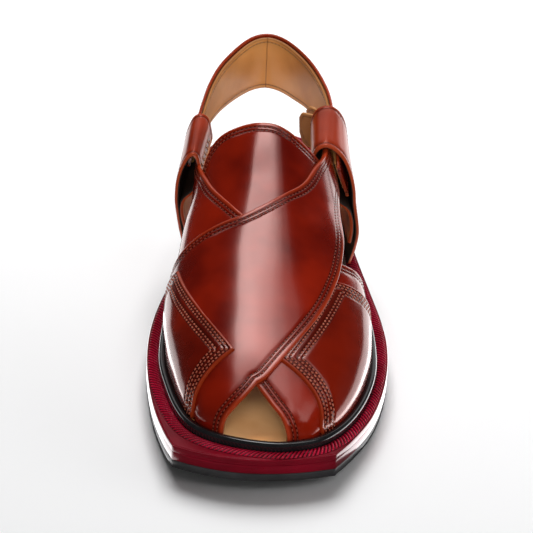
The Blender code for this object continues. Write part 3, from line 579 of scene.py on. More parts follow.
FEATHER_COUNT = 500     # points to each side of the line on which the upper meets the sole
FEATHER_ROWS = [   # distance, medial x, lateral x
    (75, -52.0, 52.3), (100, -51.8, 52.0), (120, -49.5, 49.5), (140, -44.5, 45.0),
    (160, -37.0, 40.0), (180, -31.5, 35.5), (200, -29.0, 31.5), (225, -29.5, 28.0),
    (250, -30.0, 26.0), (268, -24.0, 19.0), (276, -15.0, 10.0), (280, -2.5, -2.5),
]
FEATHER_FRONT = {   # its rounded front, from the middle of the toe outwards: x, distance
    MEDIAL: [(2, 7.2), (-14, 10), (-27, 15.5), (-36.5, 24), (-43, 37), (-48, 54)],
    LATERAL: [(2, 7.2), (14, 8.8), (25, 13.5), (34, 22.5), (42, 36), (48.5, 54)],
}


def feather_half(side, count):
    """Plan curve (x, distance) of one side of the line on which the upper meets the sole."""
    column, other = (1, 2) if side == MEDIAL else (2, 1)
    rows = FEATHER_FRONT[side] + [(row[column], row[0]) for row in FEATHER_ROWS]
    before = FEATHER_FRONT[-side][1]
    beyond = (FEATHER_ROWS[-2][other], FEATHER_ROWS[-2][0])
    return spaced(catmull([before] + rows + [beyond], 2400), count)


feather = np.vstack([feather_half(MEDIAL, FEATHER_COUNT)[::-1], feather_half(LATERAL, FEATHER_COUNT)[1:]])
RIM_GROOVE, RIM_GROOVE_DEPTH, RIM_GROOVE_WIDTH = 0.85, 0.25, 0.28
RIM_MARGIN, ROPE_CLEARANCE = 0.9, 0.2         # bare welt outside the rope stitch and inside it
ROPE_ROOM, ROPE_HALF_LEAST, ROPE_HALF_MOST = 7.4, 0.8, 2.7
ROPE_TWIST_PITCH, ROPE_SLANT = 2.0, 1.9
ROPE_BASE, ROPE_CREST, ROPE_CROWN, ROPE_DIP, ROPE_ROOT = 0.05, 1.15, 0.93, 0.1, 0.15
GAP_SHADE_FADES, GAP_SHADE_GONE = 0.45, 0.88        # how high on a strand the painted shade of its gaps fades out
ROPE_EVEN = 20          # points to each side over which the room for it is averaged


def welt_top(plan):
    """A narrow groove inside the welt's raised rim."""
    return -RIM_GROOVE_DEPTH * bell(line_distance(plan, outline), RIM_GROOVE, RIM_GROOVE_WIDTH)


WELT_WALL = [(0.5, 0.0), (0.06, 0.03), (0.0, 0.12), (0.0, 0.84), (0.06, 0.93), (0.2, 0.985), (0.45, 1.0)]
sole_layer("welt_shelf", "welt", whole_sole, above_underside(WELT_LOW), same_thickness(WELT_THICK), WELT_WALL,
           crimson_board, upper=(90, welt_top), marks=wall_mark)


def welt_band():
    """Middle line and half width of the rope stitch, between the rim and the upper's foot: half of the
    room between them, as a running mean."""
    tangent = unit(np.gradient(feather, axis=0))
    outward = np.stack([-tangent[:, 1], tangent[:, 0]], 1)
    outward *= -1 if outward[FEATHER_COUNT, 1] > 0 else 1
    room = np.minimum(line_distance(feather, outline), ROPE_ROOM)
    window = np.ones(2 * ROPE_EVEN + 1) / (2 * ROPE_EVEN + 1)
    room = np.convolve(np.pad(room, ROPE_EVEN, mode="edge"), window, mode="valid")
    half = np.clip((room - RIM_MARGIN - ROPE_CLEARANCE) / 2, ROPE_HALF_LEAST, ROPE_HALF_MOST)
    return feather + outward * (ROPE_CLEARANCE + half)[:, None], half


def end_caps(rows, columns):
    """Quads that close the first and last ring of a tube on a grid."""
    ring = np.arange(columns)
    return np.concatenate([zip_faces(ring), zip_faces(ring + (rows - 1) * columns)])


def rope_band(count=3000, across=9):
    """The rope stitch as one strip, crossed by slanting strands. With v from -1 to 1 across it and s the
    size of the strands' sine, its height is base + crest sqrt(1 - crown v^2) (dip + (1 - dip) s)."""
    middle, half_width = welt_band()
    lengths = lengths_along(middle)
    along = np.linspace(0, lengths[-1], count)
    path = np.stack([np.interp(along, lengths, middle[:, k]) for k in range(2)], 1)
    half = np.interp(along, lengths, half_width)
    tangent = unit(np.gradient(path, axis=0))
    side = np.stack([-tangent[:, 1], tangent[:, 0]], 1)
    v = np.linspace(-1, 1, across)
    plan = path[:, None] + side[:, None] * (v[None, :] * half[:, None])[..., None]
    strand = np.abs(np.sin((along[:, None] - ROPE_SLANT * v[None, :]) / ROPE_TWIST_PITCH * np.pi))
    height = ROPE_BASE + ROPE_CREST * np.sqrt(1 - ROPE_CROWN * v[None, :] ** 2) \
        * (ROPE_DIP + (1 - ROPE_DIP) * strand)
    base = underside(plan[..., 1]) + UNDERSIDE_TOP
    upper = np.concatenate([plan, (base + height)[..., None]], -1)
    under = np.concatenate([plan[:, [-1, 0]], (base[:, [-1, 0]] - ROPE_ROOT)[..., None]], -1)
    points = np.concatenate([upper, under], 1)
    rows, columns = points.shape[:2]
    # The crown mark is 0 in the gaps, where the thread material paints shade, and 1 on the crowns.
    crown = np.concatenate([smoothstep(strand, GAP_SHADE_FADES, GAP_SHADE_GONE), np.zeros((rows, 2))], 1)
    faces = np.concatenate([grid_faces(rows, columns, closed=True), end_caps(rows, columns)])
    return piece("welt_rope_stitch", points, faces, [rope_thread], marks={"crown": crown})


rope_band()


# ---- Insole --------------------------------------------------------------------------------------
# The footbed: a thin tan leather sock glued to the welt, slightly dished under the heel, with painted shade,
# a dark brown, along its edge behind the upper. It stops at the rand in front and near the feather line
# behind it.
INSOLE_THICK, RAND_WIDTH = 2.0, 3.0
INSOLE_MARGIN, INSOLE_OVERLAP = 0.5, 0.05       # in from the feather line, and under the rand
EDGE_SHADE_FULL, EDGE_SHADE_END = 8.0, 11.0                   # in from the edge
EDGE_SHADE_FRONT, EDGE_SHADE_BACK = (140, 158), (205, 217)    # distances over which it comes and goes


def insole_half(side, count=260):
    """The feather line moved in: past the rand in front, nearly to the line at the waist and heel."""
    curve = feather_half(side, count)
    ahead = 1 - smoothstep(curve[:, 1], 148, 166)
    return inset(curve, side, (INSOLE_MARGIN + (RAND_WIDTH - INSOLE_OVERLAP) * ahead)[:, None])


def sock_leather():
    """Tan lining leather: soft clouds, fine grain, and painted shade, a dark brown, along its edge behind the
    upper.
    """
    material, tree, add, shader, colour = grained_parts(
        "tan_sock_leather", (0.80, 0.360, 0.125), (0.96, 0.530, 0.225), roughness=0.50, grain=1100.0,
        cloud=34.0, depth=0.16, Sheen_Weight=0.08)
    # Painted shade: the sock turns dark brown along its edge behind the upper, where shade falls.
    dyed = mixed(add, stored(add, "dyed"), colour, (0.030, 0.010, 0.005, 1.0))
    tree.links.new(dyed, shader.inputs["Base Color"])
    return material


def edge_shade_mark(points):
    """Painted shade, a dark brown, along the edge of the sock behind the upper."""
    edge = np.abs(points[..., 0]) - np.abs(points[..., 0]).max(axis=1, keepdims=True)
    along = smoothstep(points[..., 1], *EDGE_SHADE_FRONT) * (1 - smoothstep(points[..., 1], *EDGE_SHADE_BACK))
    return {"dyed": smoothstep(edge, -EDGE_SHADE_END, -EDGE_SHADE_FULL) * along}


HEEL_DISH, DISH_CENTRE, DISH_REACH = 0.5, (-2.0, 245.0), (20.0, 26.0)


def dished(plan):
    """The hollow under the heel, exp of minus the sum of squares of x and distance over their reach."""
    return -HEEL_DISH * np.exp(-(((plan - DISH_CENTRE) / DISH_REACH) ** 2).sum(-1))


INSOLE_WALL = [(0.3, 0.0), (0.0, 0.1), (0.0, 0.75), (0.12, 0.93), (0.4, 1.0)]
sole_layer("insole_sock", "insole", {side: insole_half(side) for side in (MEDIAL, LATERAL)},
           above_underside(UNDERSIDE_TOP + JOINT_GAP), same_thickness(INSOLE_THICK), INSOLE_WALL,
           sock_leather(), upper=(44, dished), marks=edge_shade_mark)


# ---- Rand ----------------------------------------------------------------------------------------
# A glossy black rubber bead glued round the foot of the upper, where it meets the welt. It is round on
# top, 3 mm wide, and thins out at both ends beside the waist.
RAND_HEIGHT, RAND_END, RAND_TAPER = 4.2, 152.0, 14.0
RAND_IN, RAND_FILL = -1, 1.8       # it is pressed in against the upper
RAND_SHOULDER, RAND_END_SIZE = 0.55, 0.35     # share of its height below the round, and of its size at an end
bead_rubber = grained("bead_rubber", (0.006, 0.006, 0.007), (0.012, 0.012, 0.013), roughness=0.16,
                      grain=400.0, cloud=60.0, depth=0.02, spread=0.04, Coat_Weight=0.7, Coat_Roughness=0.05)


def rand_bead(count=520):
    """A ring section, flat below and a half ellipse above, carried along the feather line."""
    halves = []
    for side in (MEDIAL, LATERAL):
        curve = feather_half(side, 1200)
        halves.append(inset(curve, side, RAND_WIDTH / 2)[curve[:, 1] < RAND_END])
    path = spaced(np.vstack([halves[0][:3:-1], halves[1][4:]]), count)
    tangent = unit(np.gradient(path, axis=0))
    across = np.stack([tangent[:, 1], -tangent[:, 0]], 1)
    along = lengths_along(path)
    size = smoothstep(np.minimum(along, along[-1] - along), 0, RAND_TAPER)
    size = RAND_END_SIZE + (1 - RAND_END_SIZE) * size
    turn = np.linspace(0, np.pi, 17)
    section = np.stack([0.5 * np.cos(turn), RAND_SHOULDER + (1 - RAND_SHOULDER) * np.sin(turn)], 1)
    section = np.concatenate([[(0.5, 0.0)], section, [(-0.5, 0.0)]])
    section[:, 0] = np.where(section[:, 0] * RAND_IN > 0, section[:, 0] * RAND_FILL, section[:, 0])
    section = size[:, None, None] * section * (RAND_WIDTH, RAND_HEIGHT)
    plan = path[:, None] + across[:, None] * section[..., :1]
    height = underside(path[:, 1])[:, None] + UNDERSIDE_TOP + JOINT_GAP + section[..., 1]
    points = np.concatenate([plan, height[..., None]], -1)
    rows, columns = points.shape[:2]
    faces = np.concatenate([grid_faces(rows, columns, closed=True), end_caps(rows, columns)])
    return piece("rand_bead", points, faces, [bead_rubber], ("rand",))


rand_bead()


# ---- Under strap ---------------------------------------------------------------------------------
# The lower of the two wide straps, from the keeper on the inner side of the ankle across the instep to
# the sole beside the little toe. It is polished dark red leather, lined in brown, lasted over the form
# of a foot and sewn with two rows of thread along its free edges.
UPPER_FOOT = UNDERSIDE_TOP + JOINT_GAP + INSOLE_THICK + 2 * JOINT_GAP
STRAP_LEATHER, OVER_LEATHER, OVER_RISE, PANEL_STEP = 2.2, 2.7, 4.2, 1.4
FOOT_CLEARANCE = 0.5
LAST_ROWS = np.array([   # distance, ridge x, ridge height, wall bulges, bulge height, level crown widths
    (22, -4.0, 27, 1.0, 1.0, 0.62, 0.52, 0.52),
    (33, -5.0, 32, 2.0, 2.0, 0.66, 0.55, 0.55),
    (50, -6.0, 39, 3.0, 3.5, 0.70, 0.58, 0.58),
    (75, -7.0, 47, 5.0, 6.5, 0.72, 0.58, 0.58),
    (100, -8.0, 55, 8.0, 10.0, 0.72, 0.60, 0.58),
    (125, -8.0, 64, 15.0, 12.0, 0.72, 0.61, 0.58),
    (150, -7.5, 75, 25.0, 10.5, 0.74, 0.66, 0.56),
    (178, -6.5, 88, 38.0, 14.0, 0.72, 0.76, 0.54),
    (205, -6.0, 97, 44.0, 18.0, 0.72, 0.76, 0.54),
], float)
LAST_FRONT, LAST_SQUARE, FAN_POWER = 22.0, 100.0, 0.62
LAST_TOE_X, LAST_ROWS_USED = -1.5, 620       # of the 700 points of its foot line, before it turns at the heel
CREST_X, CREST_HALF, CREST_START, CREST_GAIN = 6.5, 16.0, 76.0, 0.018     # the instep is broad outwards
UPRIGHT_SHARE = 0.22        # the wall leaves its foot upright over this share of the rise
PANEL_FOOT = {MEDIAL: 26.0, LATERAL: 16.0}
UNDER_STRAP = [   # medial keeper to lateral foot: top edge distance, girth; bottom edge distance, girth
    (181, -0.50, 181, -0.53), (176, -0.485, 174, -0.53), (169, -0.455, 166, -0.57),
    (160, -0.39, 158, -0.65), (147.5, -0.29, 148, -0.79), (137.5, -0.18, 136, -0.95),
    (128, -0.07, 116, -0.93), (121, 0.04, 94, -0.72), (116, 0.15, 74, -0.48), (113, 0.26, 56, -0.27),
    (111.5, 0.35, 40, -0.07), (112, 0.42, 32.5, 0.01), (114.5, 0.52, 28, 0.10), (115.5, 0.64, 25.8, 0.24),
    (113, 0.76, 24.3, 0.45), (109, 0.88, 23.8, 0.72), (106, 1.0, 23.7, 1.0),
]


def smooth_table(at, knots, values):
    """Cubic Hermite curve through a table, with slopes by central differences."""
    slopes = np.gradient(values, knots)
    at = np.clip(at, knots[0], knots[-1])
    i = np.clip(np.searchsorted(knots, at, side="right") - 1, 0, len(knots) - 2)
    width = knots[i + 1] - knots[i]
    t = (at - knots[i]) / width
    return ((2 * t ** 3 - 3 * t ** 2 + 1) * values[i] + (t ** 3 - 2 * t ** 2 + t) * width * slopes[i]
            + (3 * t ** 2 - 2 * t ** 3) * values[i + 1] + (t ** 3 - t ** 2) * width * slopes[i + 1])


def last_feet():
    """For each side the line on which the last stands, behind the rand, and the length along it."""
    feet = {}
    for side in (MEDIAL, LATERAL):
        curve = feather_half(side, 700)
        panel = smoothstep(curve[:, 1], PANEL_FOOT[side] - 4, PANEL_FOOT[side])
        wall = (OVER_LEATHER if side == MEDIAL else STRAP_LEATHER) + PANEL_STEP * panel
        curve = inset(curve, side, (RAND_WIDTH + FOOT_CLEARANCE + wall)[:, None])
        curve[0, 0] = LAST_TOE_X
        feet[side] = (curve, lengths_along(curve))
    return feet


LAST_FEET = last_feet()


def last_foot(distance, side):
    """Foot of the section at a ridge distance: x, distance and outward direction. In front of
    LAST_SQUARE the sections fan round the toe, by (share of the way) ^ FAN_POWER."""
    curve, along = LAST_FEET[side]
    k = int(np.argmax(curve[:, 1] >= LAST_SQUARE))
    share = np.clip(distance - LAST_FRONT, 0, None) / (LAST_SQUARE - LAST_FRONT)
    square = np.interp(distance, curve[k - 5:LAST_ROWS_USED, 1], along[k - 5:LAST_ROWS_USED])
    s = np.where(distance < LAST_SQUARE, along[k] * share ** FAN_POWER, square)
    spot = lambda shift: np.stack([np.interp(s + shift, along, curve[:, axis]) for axis in (0, 1)], -1)
    tangent = unit(spot(1.0) - spot(-1.0))
    outward = np.stack([tangent[..., 1], -tangent[..., 0]], -1) * side
    return spot(0.0)[..., 0], spot(0.0)[..., 1], outward


def last_point(distance, girth):
    """Point (x, distance, z) of the last: with t the size of the girth, a quartic Bezier from the ridge by
    a level crown, the bulge and an upright to the foot, (1-t)^4 ridge + 4 (1-t)^3 t crown + ... + t^4 foot.
    A crest of half 1 + cos is added over the instep."""
    distance, girth = np.broadcast_arrays(np.asarray(distance, float), np.asarray(girth, float))
    read = lambda column, at: smooth_table(at, LAST_ROWS[:, 0], LAST_ROWS[:, column])
    ridge = np.stack([read(1, distance), distance, read(2, distance)], -1)
    slope = read(2, distance + 0.5) - read(2, distance - 0.5)
    result = np.zeros(distance.shape + (3,))
    for side in (MEDIAL, LATERAL):
        x, d, outward = last_foot(distance, side)
        z = underside(d) + UPPER_FOOT
        rise = ridge[..., 2] - z
        foot = np.stack([x, d, z], -1)
        upright = foot + np.stack([0 * rise, 0 * rise, UPRIGHT_SHARE * rise], -1)
        bulge = outward * read(3 if side == MEDIAL else 4, distance)[..., None]
        belly = foot + np.concatenate([bulge, (read(5, distance) * rise)[..., None]], -1)
        level = (foot - ridge)[..., :2] * read(6 if side == MEDIAL else 7, distance)[..., None]
        crown = ridge + np.stack([level[..., 0], level[..., 1], level[..., 1] * slope], -1)
        t = np.abs(girth)[..., None]
        point = ((1 - t) ** 4 * ridge + 4 * (1 - t) ** 3 * t * crown + 6 * (1 - t) ** 2 * t ** 2 * belly
                 + 4 * (1 - t) * t ** 3 * upright + t ** 4 * foot)
        here = girth < 0 if side == MEDIAL else girth >= 0
        result[here] = point[here]
    off_crest = np.clip((result[..., 0] - CREST_X) / CREST_HALF, -1, 1)
    crest = CREST_GAIN * np.clip(distance - CREST_START, 0, None)
    result[..., 2] += crest * (1 + np.cos(np.pi * off_crest)) / 2
    return result


def last_normal(distance, girth):
    """Unit normal of the last by central differences."""
    along = last_point(distance + 0.3, girth) - last_point(distance - 0.3, girth)
    left, right = np.clip(girth - 0.01, -1, 1), np.clip(girth + 0.01, -1, 1)
    return unit(np.cross(last_point(distance, right) - last_point(distance, left), along))


RIM_STEPS = (0.0, 0.08, 0.22, 0.42, 0.68, 1.0)      # stations of a rounded leather edge, from the edge in
SEAM_STEPS = (-0.55, -0.28, 0.0, 0.28, 0.55)        # stations across one sunk row of stitches


def near_stations(seams):
    """Distances from an edge at which a strap has a column of points."""
    near = np.sort(np.concatenate([RIM_STEPS] + [np.add(seam, SEAM_STEPS) for seam in seams]))
    return near[np.concatenate([[True], np.diff(near) > 0.1])]


SEAM_DEPTH, SEAM_WIDTH = 0.26, 0.42


def edge_relief(edge, rim, seams, depth=SEAM_DEPTH):
    """Drop of a leather face near its edge: a quarter round of radius rim, and a bell-shaped channel
    under each row of stitches."""
    drop = rim * (1 - np.sqrt(1 - (1 - np.clip(edge / rim, 0, 1)) ** 2))
    for seam in seams:
        drop = drop + depth * bell(edge, seam, SEAM_WIDTH)
    return drop


def leather_sheet(name, outer, inner, materials, marks, stands_for):
    """A closed sheet of leather between two grids of points; its inner face takes the second material."""
    rows, columns = outer.shape[:2]
    points = np.concatenate([outer, inner[:, ::-1]], 1)
    loop = 2 * columns
    faces = np.concatenate([grid_faces(rows, loop, closed=True), end_caps(rows, loop)])
    column = np.tile(np.arange(loop), rows - 1)
    slots = np.zeros(len(faces), int)
    slots[:len(column)] = (column >= columns) & (column < loop - 1)
    marks = {key: np.concatenate([values, values[:, ::-1]], 1) for key, values in marks.items()}
    return piece(name, points, faces, materials, stands_for, face_slots=slots, marks=marks)


def surface_normals(points, inside):
    """Unit normals of a grid of points, turned away from the points inside it."""
    normal = np.cross(np.gradient(points, axis=0), np.gradient(points, axis=1))
    normal /= np.maximum(np.linalg.norm(normal, axis=-1, keepdims=True), 1e-9)
    away = ((points - inside) * normal).sum()
    return normal * (1 if away > 0 else -1)


def seam_line(field, level, points, normals):
    """Where a distance field on a grid first reaches a level along each of its rows."""
    reached = np.nonzero((field.max(axis=1) > level + 0.4) & (field[:, 0] < level))[0]
    field, points, normals = field[reached], points[reached], normals[reached]
    rows = np.arange(len(field))
    k = np.argmax(field >= level, axis=1)
    share = ((level - field[rows, k - 1]) / (field[rows, k] - field[rows, k - 1]))[:, None]
    mix = lambda grid: grid[rows, k - 1] * (1 - share) + grid[rows, k] * share
    return mix(points), mix(normals)


THREAD_SIZE, THREAD_PITCH, THREAD_LIFT = (1.40, 0.74, 0.56), 2.15, 0.10
SEAM_SPREAD = 0.5


def sewn(field, levels, points, normals, keep=None):
    """Stitch frames of rows at given distances from an edge, where keep(points) allows them."""
    rows = []
    for level in levels:
        line, up = seam_line(field, level, points, normals)
        if keep is not None:
            wanted = keep(line)
            line, up = line[wanted], up[wanted]
        rows.append(run_frames(line + up * THREAD_LIFT, up, THREAD_PITCH))
    return rows


def sewn_back(field, levels, points, normals, keep=None):
    """The same from the grid's last column inwards."""
    return sewn(field[:, ::-1], levels, points[:, ::-1], normals[:, ::-1], keep)


RIM_BURNISH_AND_HIGHLIGHT_SHARE, CHANNEL_SHADE_SHARE = 0.45, 0.95      # how much of the rims' colour (burnish and painted highlight) and of the channels' painted shade shows


def polished_leather(name, dark, light, rim_colour, roughness=0.19, coat=(0.45, 0.13),
                     tint=(1.0, 0.5, 0.44, 1.0)):
    """Dark red leather, waxed: clouds of dye, paler edges that are partly burnish and partly painted
    highlight, painted shade in the stitch channels, fine pores. coat is the wax's weight and roughness."""
    material, tree, add, shader, colour = grained_parts(
        name, dark, light, roughness=roughness, grain=1300.0, cloud=24.0, depth=0.045, spread=0.03,
        Coat_Weight=coat[0], Coat_Roughness=coat[1], Specular_IOR_Level=0.75, Specular_Tint=tint)
    # Burnish and painted highlight: the rims are mixed towards a paler orange. Painted shade: the stitch
    # channels are mixed towards near black.
    burnish_and_highlight = mixed(add, times(add, stored(add, "rim"), RIM_BURNISH_AND_HIGHLIGHT_SHARE), colour, (*rim_colour, 1.0))
    channel_shade_colour = (dark[0] * 0.12, dark[1] * 0.3, dark[2] * 0.3, 1.0)
    sunk_and_shaded = mixed(add, times(add, stored(add, "seam"), CHANNEL_SHADE_SHARE), burnish_and_highlight, channel_shade_colour)
    tree.links.new(sunk_and_shaded, shader.inputs["Base Color"])
    return material


def sewing_thread(name, dark, light, roughness, **shader_values):
    """Waxed sewing thread, its twist a close grain."""
    return grained(name, dark, light, roughness=roughness, grain=2200.0, cloud=90.0, depth=0.3,
                   **shader_values)


red_leather = polished_leather("polished_red_leather", (0.078, 0.0016, 0.0001), (0.195, 0.0075, 0.0006),
                               (0.40, 0.050, 0.012))
brown_lining = grained("brown_lining", (0.115, 0.050, 0.022), (0.190, 0.090, 0.042), roughness=0.55,
                       grain=900.0, cloud=40.0, depth=0.2)
red_thread = sewing_thread("red_brown_thread", (0.110, 0.0130, 0.0060), (0.190, 0.032, 0.016), 0.45,
                           Specular_IOR_Level=0.3)


def eased(curve, reach):
    """A curve averaged over a window of points with sine-squared weights, its two ends kept."""
    window = np.sin(np.linspace(0, np.pi, 2 * reach + 3)[1:-1]) ** 2
    ahead = 2 * curve[0] - curve[reach:0:-1]
    behind = 2 * curve[-1] - curve[-2:-reach - 2:-1]
    padded, window = np.vstack([ahead, curve, behind]), window / window.sum()
    return np.stack([np.convolve(padded[:, k], window, "valid") for k in range(curve.shape[1])], 1)


def near_edge(place, line, stations_mm):
    """Shares across a strap at which it first lies the given distances from one edge: a fine probe
    from the edge to the middle, read backwards. Narrow parts shrink the distances to fit."""
    probe = np.concatenate([np.linspace(0, 0.12, 40), np.linspace(0.13, 0.5, 40)])
    field = np.maximum.accumulate(line_distance(place(probe[None, :]), line), axis=1)
    scale = np.minimum(1.0, field[:, -1] * 0.9 / stations_mm[-1])
    wanted = stations_mm[None, :] * scale[:, None]
    k = np.clip((field[:, None, :] < wanted[..., None]).sum(-1), 1, len(probe) - 1)
    low, high = np.take_along_axis(field, k - 1, 1), np.take_along_axis(field, k, 1)
    share = np.clip((wanted - low) / np.maximum(high - low, 1e-9), 0, 1)
    return probe[k - 1] + (probe[k] - probe[k - 1]) * share


EDGE_EASE = 9       # points over which a strap's edges are smoothed


def strap_grid(table, count, seams, middle=34):
    """Distance and girth over a strap: columns that follow each edge at the depths of its rim and seams,
    and even ones between them."""
    edges = eased(through(table, count), EDGE_EASE)
    mix = lambda share: edges[:, None, :2] * (1 - share[..., None]) + edges[:, None, 2:] * share[..., None]

    def place(share):
        """Points of the last at shares across the strap, in each of its rows."""
        spot = mix(np.broadcast_to(share, (len(edges), share.shape[-1])))
        return last_point(spot[..., 0], np.clip(spot[..., 1], -1, 1))

    near = near_stations(seams)
    left = near_edge(place, place(np.zeros((1, 1)))[:, 0], near)
    right = 1 - near_edge(lambda share: place(1 - share), place(np.ones((1, 1)))[:, 0], near)[:, ::-1]
    core = left[:, -1:] + (right[:, :1] - left[:, -1:]) * np.linspace(0, 1, middle)[None, 1:-1]
    grid = mix(np.concatenate([left, core, right], 1))
    return grid[..., 0], np.clip(grid[..., 1], -1, 1)


WAVE_HEIGHT = 0.035


def waviness(distance, girth):
    """Slow unevenness of lasted leather: a sum of three sines."""
    return WAVE_HEIGHT * (np.sin(distance / 6.1 + 3 * girth) + np.sin(distance / 3.7 - 9 * girth + 1.3)
                          + np.sin(11 * girth + distance / 11.0))


RIM_RADIUS, RIM_WEAR_AND_HIGHLIGHT = 0.95, 1.5
EDGE_SEAMS = (2.9, 4.9)
CREASE, CREASE_DEPTH, CREASE_WIDTH = 1.85, 0.20, 0.3      # a fine crease beside the turned edge
BACK_BEVEL = 0.4


def rim_mark(edge, reach):
    """How strongly the edge colour shows near the edge, exp(-(edge / reach)^4): burnish and painted highlight
    on the red leather, brown edges on the tan.
    """
    return np.exp(-(edge / reach) ** 4)


def last_strap(name, distance, girth, inner, outer, materials, seams, stands_for=("upper",)):
    """A strap lasted between two heights, its two long edges turned and grooved. Returns the grids
    that its seams need."""
    base, up = last_point(distance, girth), last_normal(distance, girth)
    body = base + up * np.asarray(outer)[..., None]
    first, last = (line_distance(body, body[:, k]) for k in (0, -1))
    edge = np.minimum(first, last)
    drop = edge_relief(edge, RIM_RADIUS, seams) + CREASE_DEPTH * bell(edge, CREASE, CREASE_WIDTH)
    face = base + up * (outer - drop + waviness(distance, girth) * smoothstep(edge, 4, 8))[..., None]
    back = base + up * (inner + BACK_BEVEL * (1 - np.clip(edge / BACK_BEVEL, 0, 1)) ** 2)[..., None]
    # rim: paler edges (burnish and painted highlight); seam: painted shade in the stitch channels
    marks = {"rim": rim_mark(edge, RIM_WEAR_AND_HIGHLIGHT), "seam": sum(bell(edge, seam, SEAM_SPREAD) for seam in seams)}
    leather_sheet(name, face, back, materials, marks, stands_for)
    return face, surface_normals(face, back), first, last


distance, girth = strap_grid(UNDER_STRAP, 300, EDGE_SEAMS)
face, up, first, last = last_strap("under_strap", distance, girth, 0.0, STRAP_LEATHER + 0 * girth,
                                   [red_leather, brown_lining], EDGE_SEAMS)
SEWN_TO, TOE_SEWN_TO = UPPER_FOOT + 1.5, 52.0       # the rows stop above the rand, and behind the toe


def toe_part(line):
    """The part of the lower edge that is sewn, beside the open toe."""
    return (line[:, 1] < TOE_SEWN_TO) & (line[:, 2] > SEWN_TO)


thread("under_strap_stitches",
       sewn(first, EDGE_SEAMS, face, up) + sewn_back(last, EDGE_SEAMS, face, up, toe_part),
       THREAD_SIZE, red_thread)


# ---- Over strap ----------------------------------------------------------------------------------
# The upper wide strap, from the outer keeper down over the instep to the sole beside the big toe. It is
# the same leather, and rides on the under strap where the two cross, so its free edge casts a line.
OVER_STRAP = [   # lateral keeper to medial foot: top edge distance, girth; bottom edge distance, girth
    (185, 0.44, 184, 0.61), (174.5, 0.40, 171, 0.60), (162, 0.31, 155, 0.51),
    (148, 0.22, 138, 0.45), (139, 0.12, 119, 0.405), (132, 0.03, 99, 0.36), (127, -0.06, 79, 0.295),
    (124, -0.17, 60, 0.20), (121.5, -0.28, 44, 0.10), (119.5, -0.38, 35.3, 0.024), (118, -0.48, 31.2, -0.10),
    (116.5, -0.60, 29.6, -0.30), (116, -0.73, 29.2, -0.52), (115.5, -0.86, 28.8, -0.76),
    (115, -1.0, 28.8, -1.0),
]
CROSSING_GRIP = 0.15     # how far the strap is pressed into the one below
HIDDEN_EDGE_ROWS = 12    # of the under strap's table, whose bottom edge it covers
CLIMB_GIRTH, TOE_CLIMB_GIRTH, CLIMB_END = 0.34, 0.46, 0.03      # its climb, before the edge that it hides
TOE_CLIMB = (42, 75)     # distances over which the longer climb at the toe ends
TONGUE_LIFT, LIFT_DISTANCE, LIFT_GIRTH = 0.2, (122, 146), (-0.04, 0.12)     # past the crossing


def over_walls(distance, girth):
    """Heights of the inner and outer face above the last: smooth steps where it climbs the under strap."""
    hidden = np.array(UNDER_STRAP, float)[:HIDDEN_EDGE_ROWS][::-1]
    hidden_edge = np.interp(distance, hidden[:, 2], hidden[:, 3])
    toe = 1 - smoothstep(distance, *TOE_CLIMB)
    low = np.maximum(hidden_edge - CLIMB_GIRTH - TOE_CLIMB_GIRTH * toe, -1.0)
    on_under = smoothstep(girth, low, np.maximum(hidden_edge - CLIMB_END, low + 2 * CLIMB_END))
    past_top = smoothstep(distance, *LIFT_DISTANCE) * smoothstep(girth, *LIFT_GIRTH)
    ride = on_under * (1 - past_top)
    inner = (STRAP_LEATHER - CROSSING_GRIP) * ride + TONGUE_LIFT * past_top
    return inner, OVER_LEATHER + (OVER_RISE - OVER_LEATHER) * ride + TONGUE_LIFT * past_top


distance, girth = strap_grid(OVER_STRAP, 300, EDGE_SEAMS, 40)
inner, outer = over_walls(distance, girth)
face, up, first, last = last_strap("over_strap", distance, girth, inner, outer, [red_leather, brown_lining],
                                   EDGE_SEAMS)


def above_foot(line):
    """The part of a seam that stays clear of the rand."""
    return line[:, 2] > SEWN_TO


thread("over_strap_stitches",
       sewn(first, EDGE_SEAMS, face, up, above_foot) + sewn_back(last, EDGE_SEAMS, face, up, above_foot),
       THREAD_SIZE, red_thread)


# ---- Side panels ---------------------------------------------------------------------------------
# A pointed reinforcement on each side of the forefoot, cut from the same leather, laid on the strap and
# sewn down with four rows of thread that meet in a mitre at its point.
MEDIAL_PANEL = [   # back to apex: top edge distance, girth; foot distance, girth
    (106.5, -0.47, 104, -1.0), (91.5, -0.40, 86, -1.0), (75, -0.30, 68, -1.0), (63, -0.22, 54, -1.0),
    (51, -0.13, 38.5, -1.0),
]
LATERAL_PANEL = [
    (97, 0.32, 101, 1.0), (83, 0.27, 83, 1.0), (66, 0.20, 62, 1.0), (47.5, 0.105, 30.6, 1.0),
]
MEDIAL_PANEL_BOW = (3.0, -5.0)    # how far its back and front edge bow along the last
LATERAL_PANEL_BOW = (3.0, -6.5)
PANEL_SEAMS = (2.1, 3.7, 5.7, 7.3)      # depths of its rows from the front and back edges
TOP_SEAMS = (2.1, 3.7, 6.9, 8.6)        # and from the top edge
SEAM_DEPTHS = list(zip(PANEL_SEAMS, TOP_SEAMS))
PANEL_GRIP, PANEL_SPREAD, PANEL_SEAM_DEPTH = 0.25, 0.62, 0.24
PANEL_THREAD_SIZE, PANEL_WEAR_AND_HIGHLIGHT = (1.55, 0.90, 0.62), 1.0
PLEAT_DEPTH, PLEAT_PITCH, PLEAT_REACH = 0.22, 3.0, 16.0
panel_leather = polished_leather("polished_panel_leather", (0.056, 0.0013, 0.0001), (0.145, 0.0060, 0.0004),
                                 (0.36, 0.046, 0.011))
panel_thread = sewing_thread("panel_thread", (0.200, 0.040, 0.020), (0.350, 0.095, 0.054), 0.42,
                             Specular_IOR_Level=0.4)


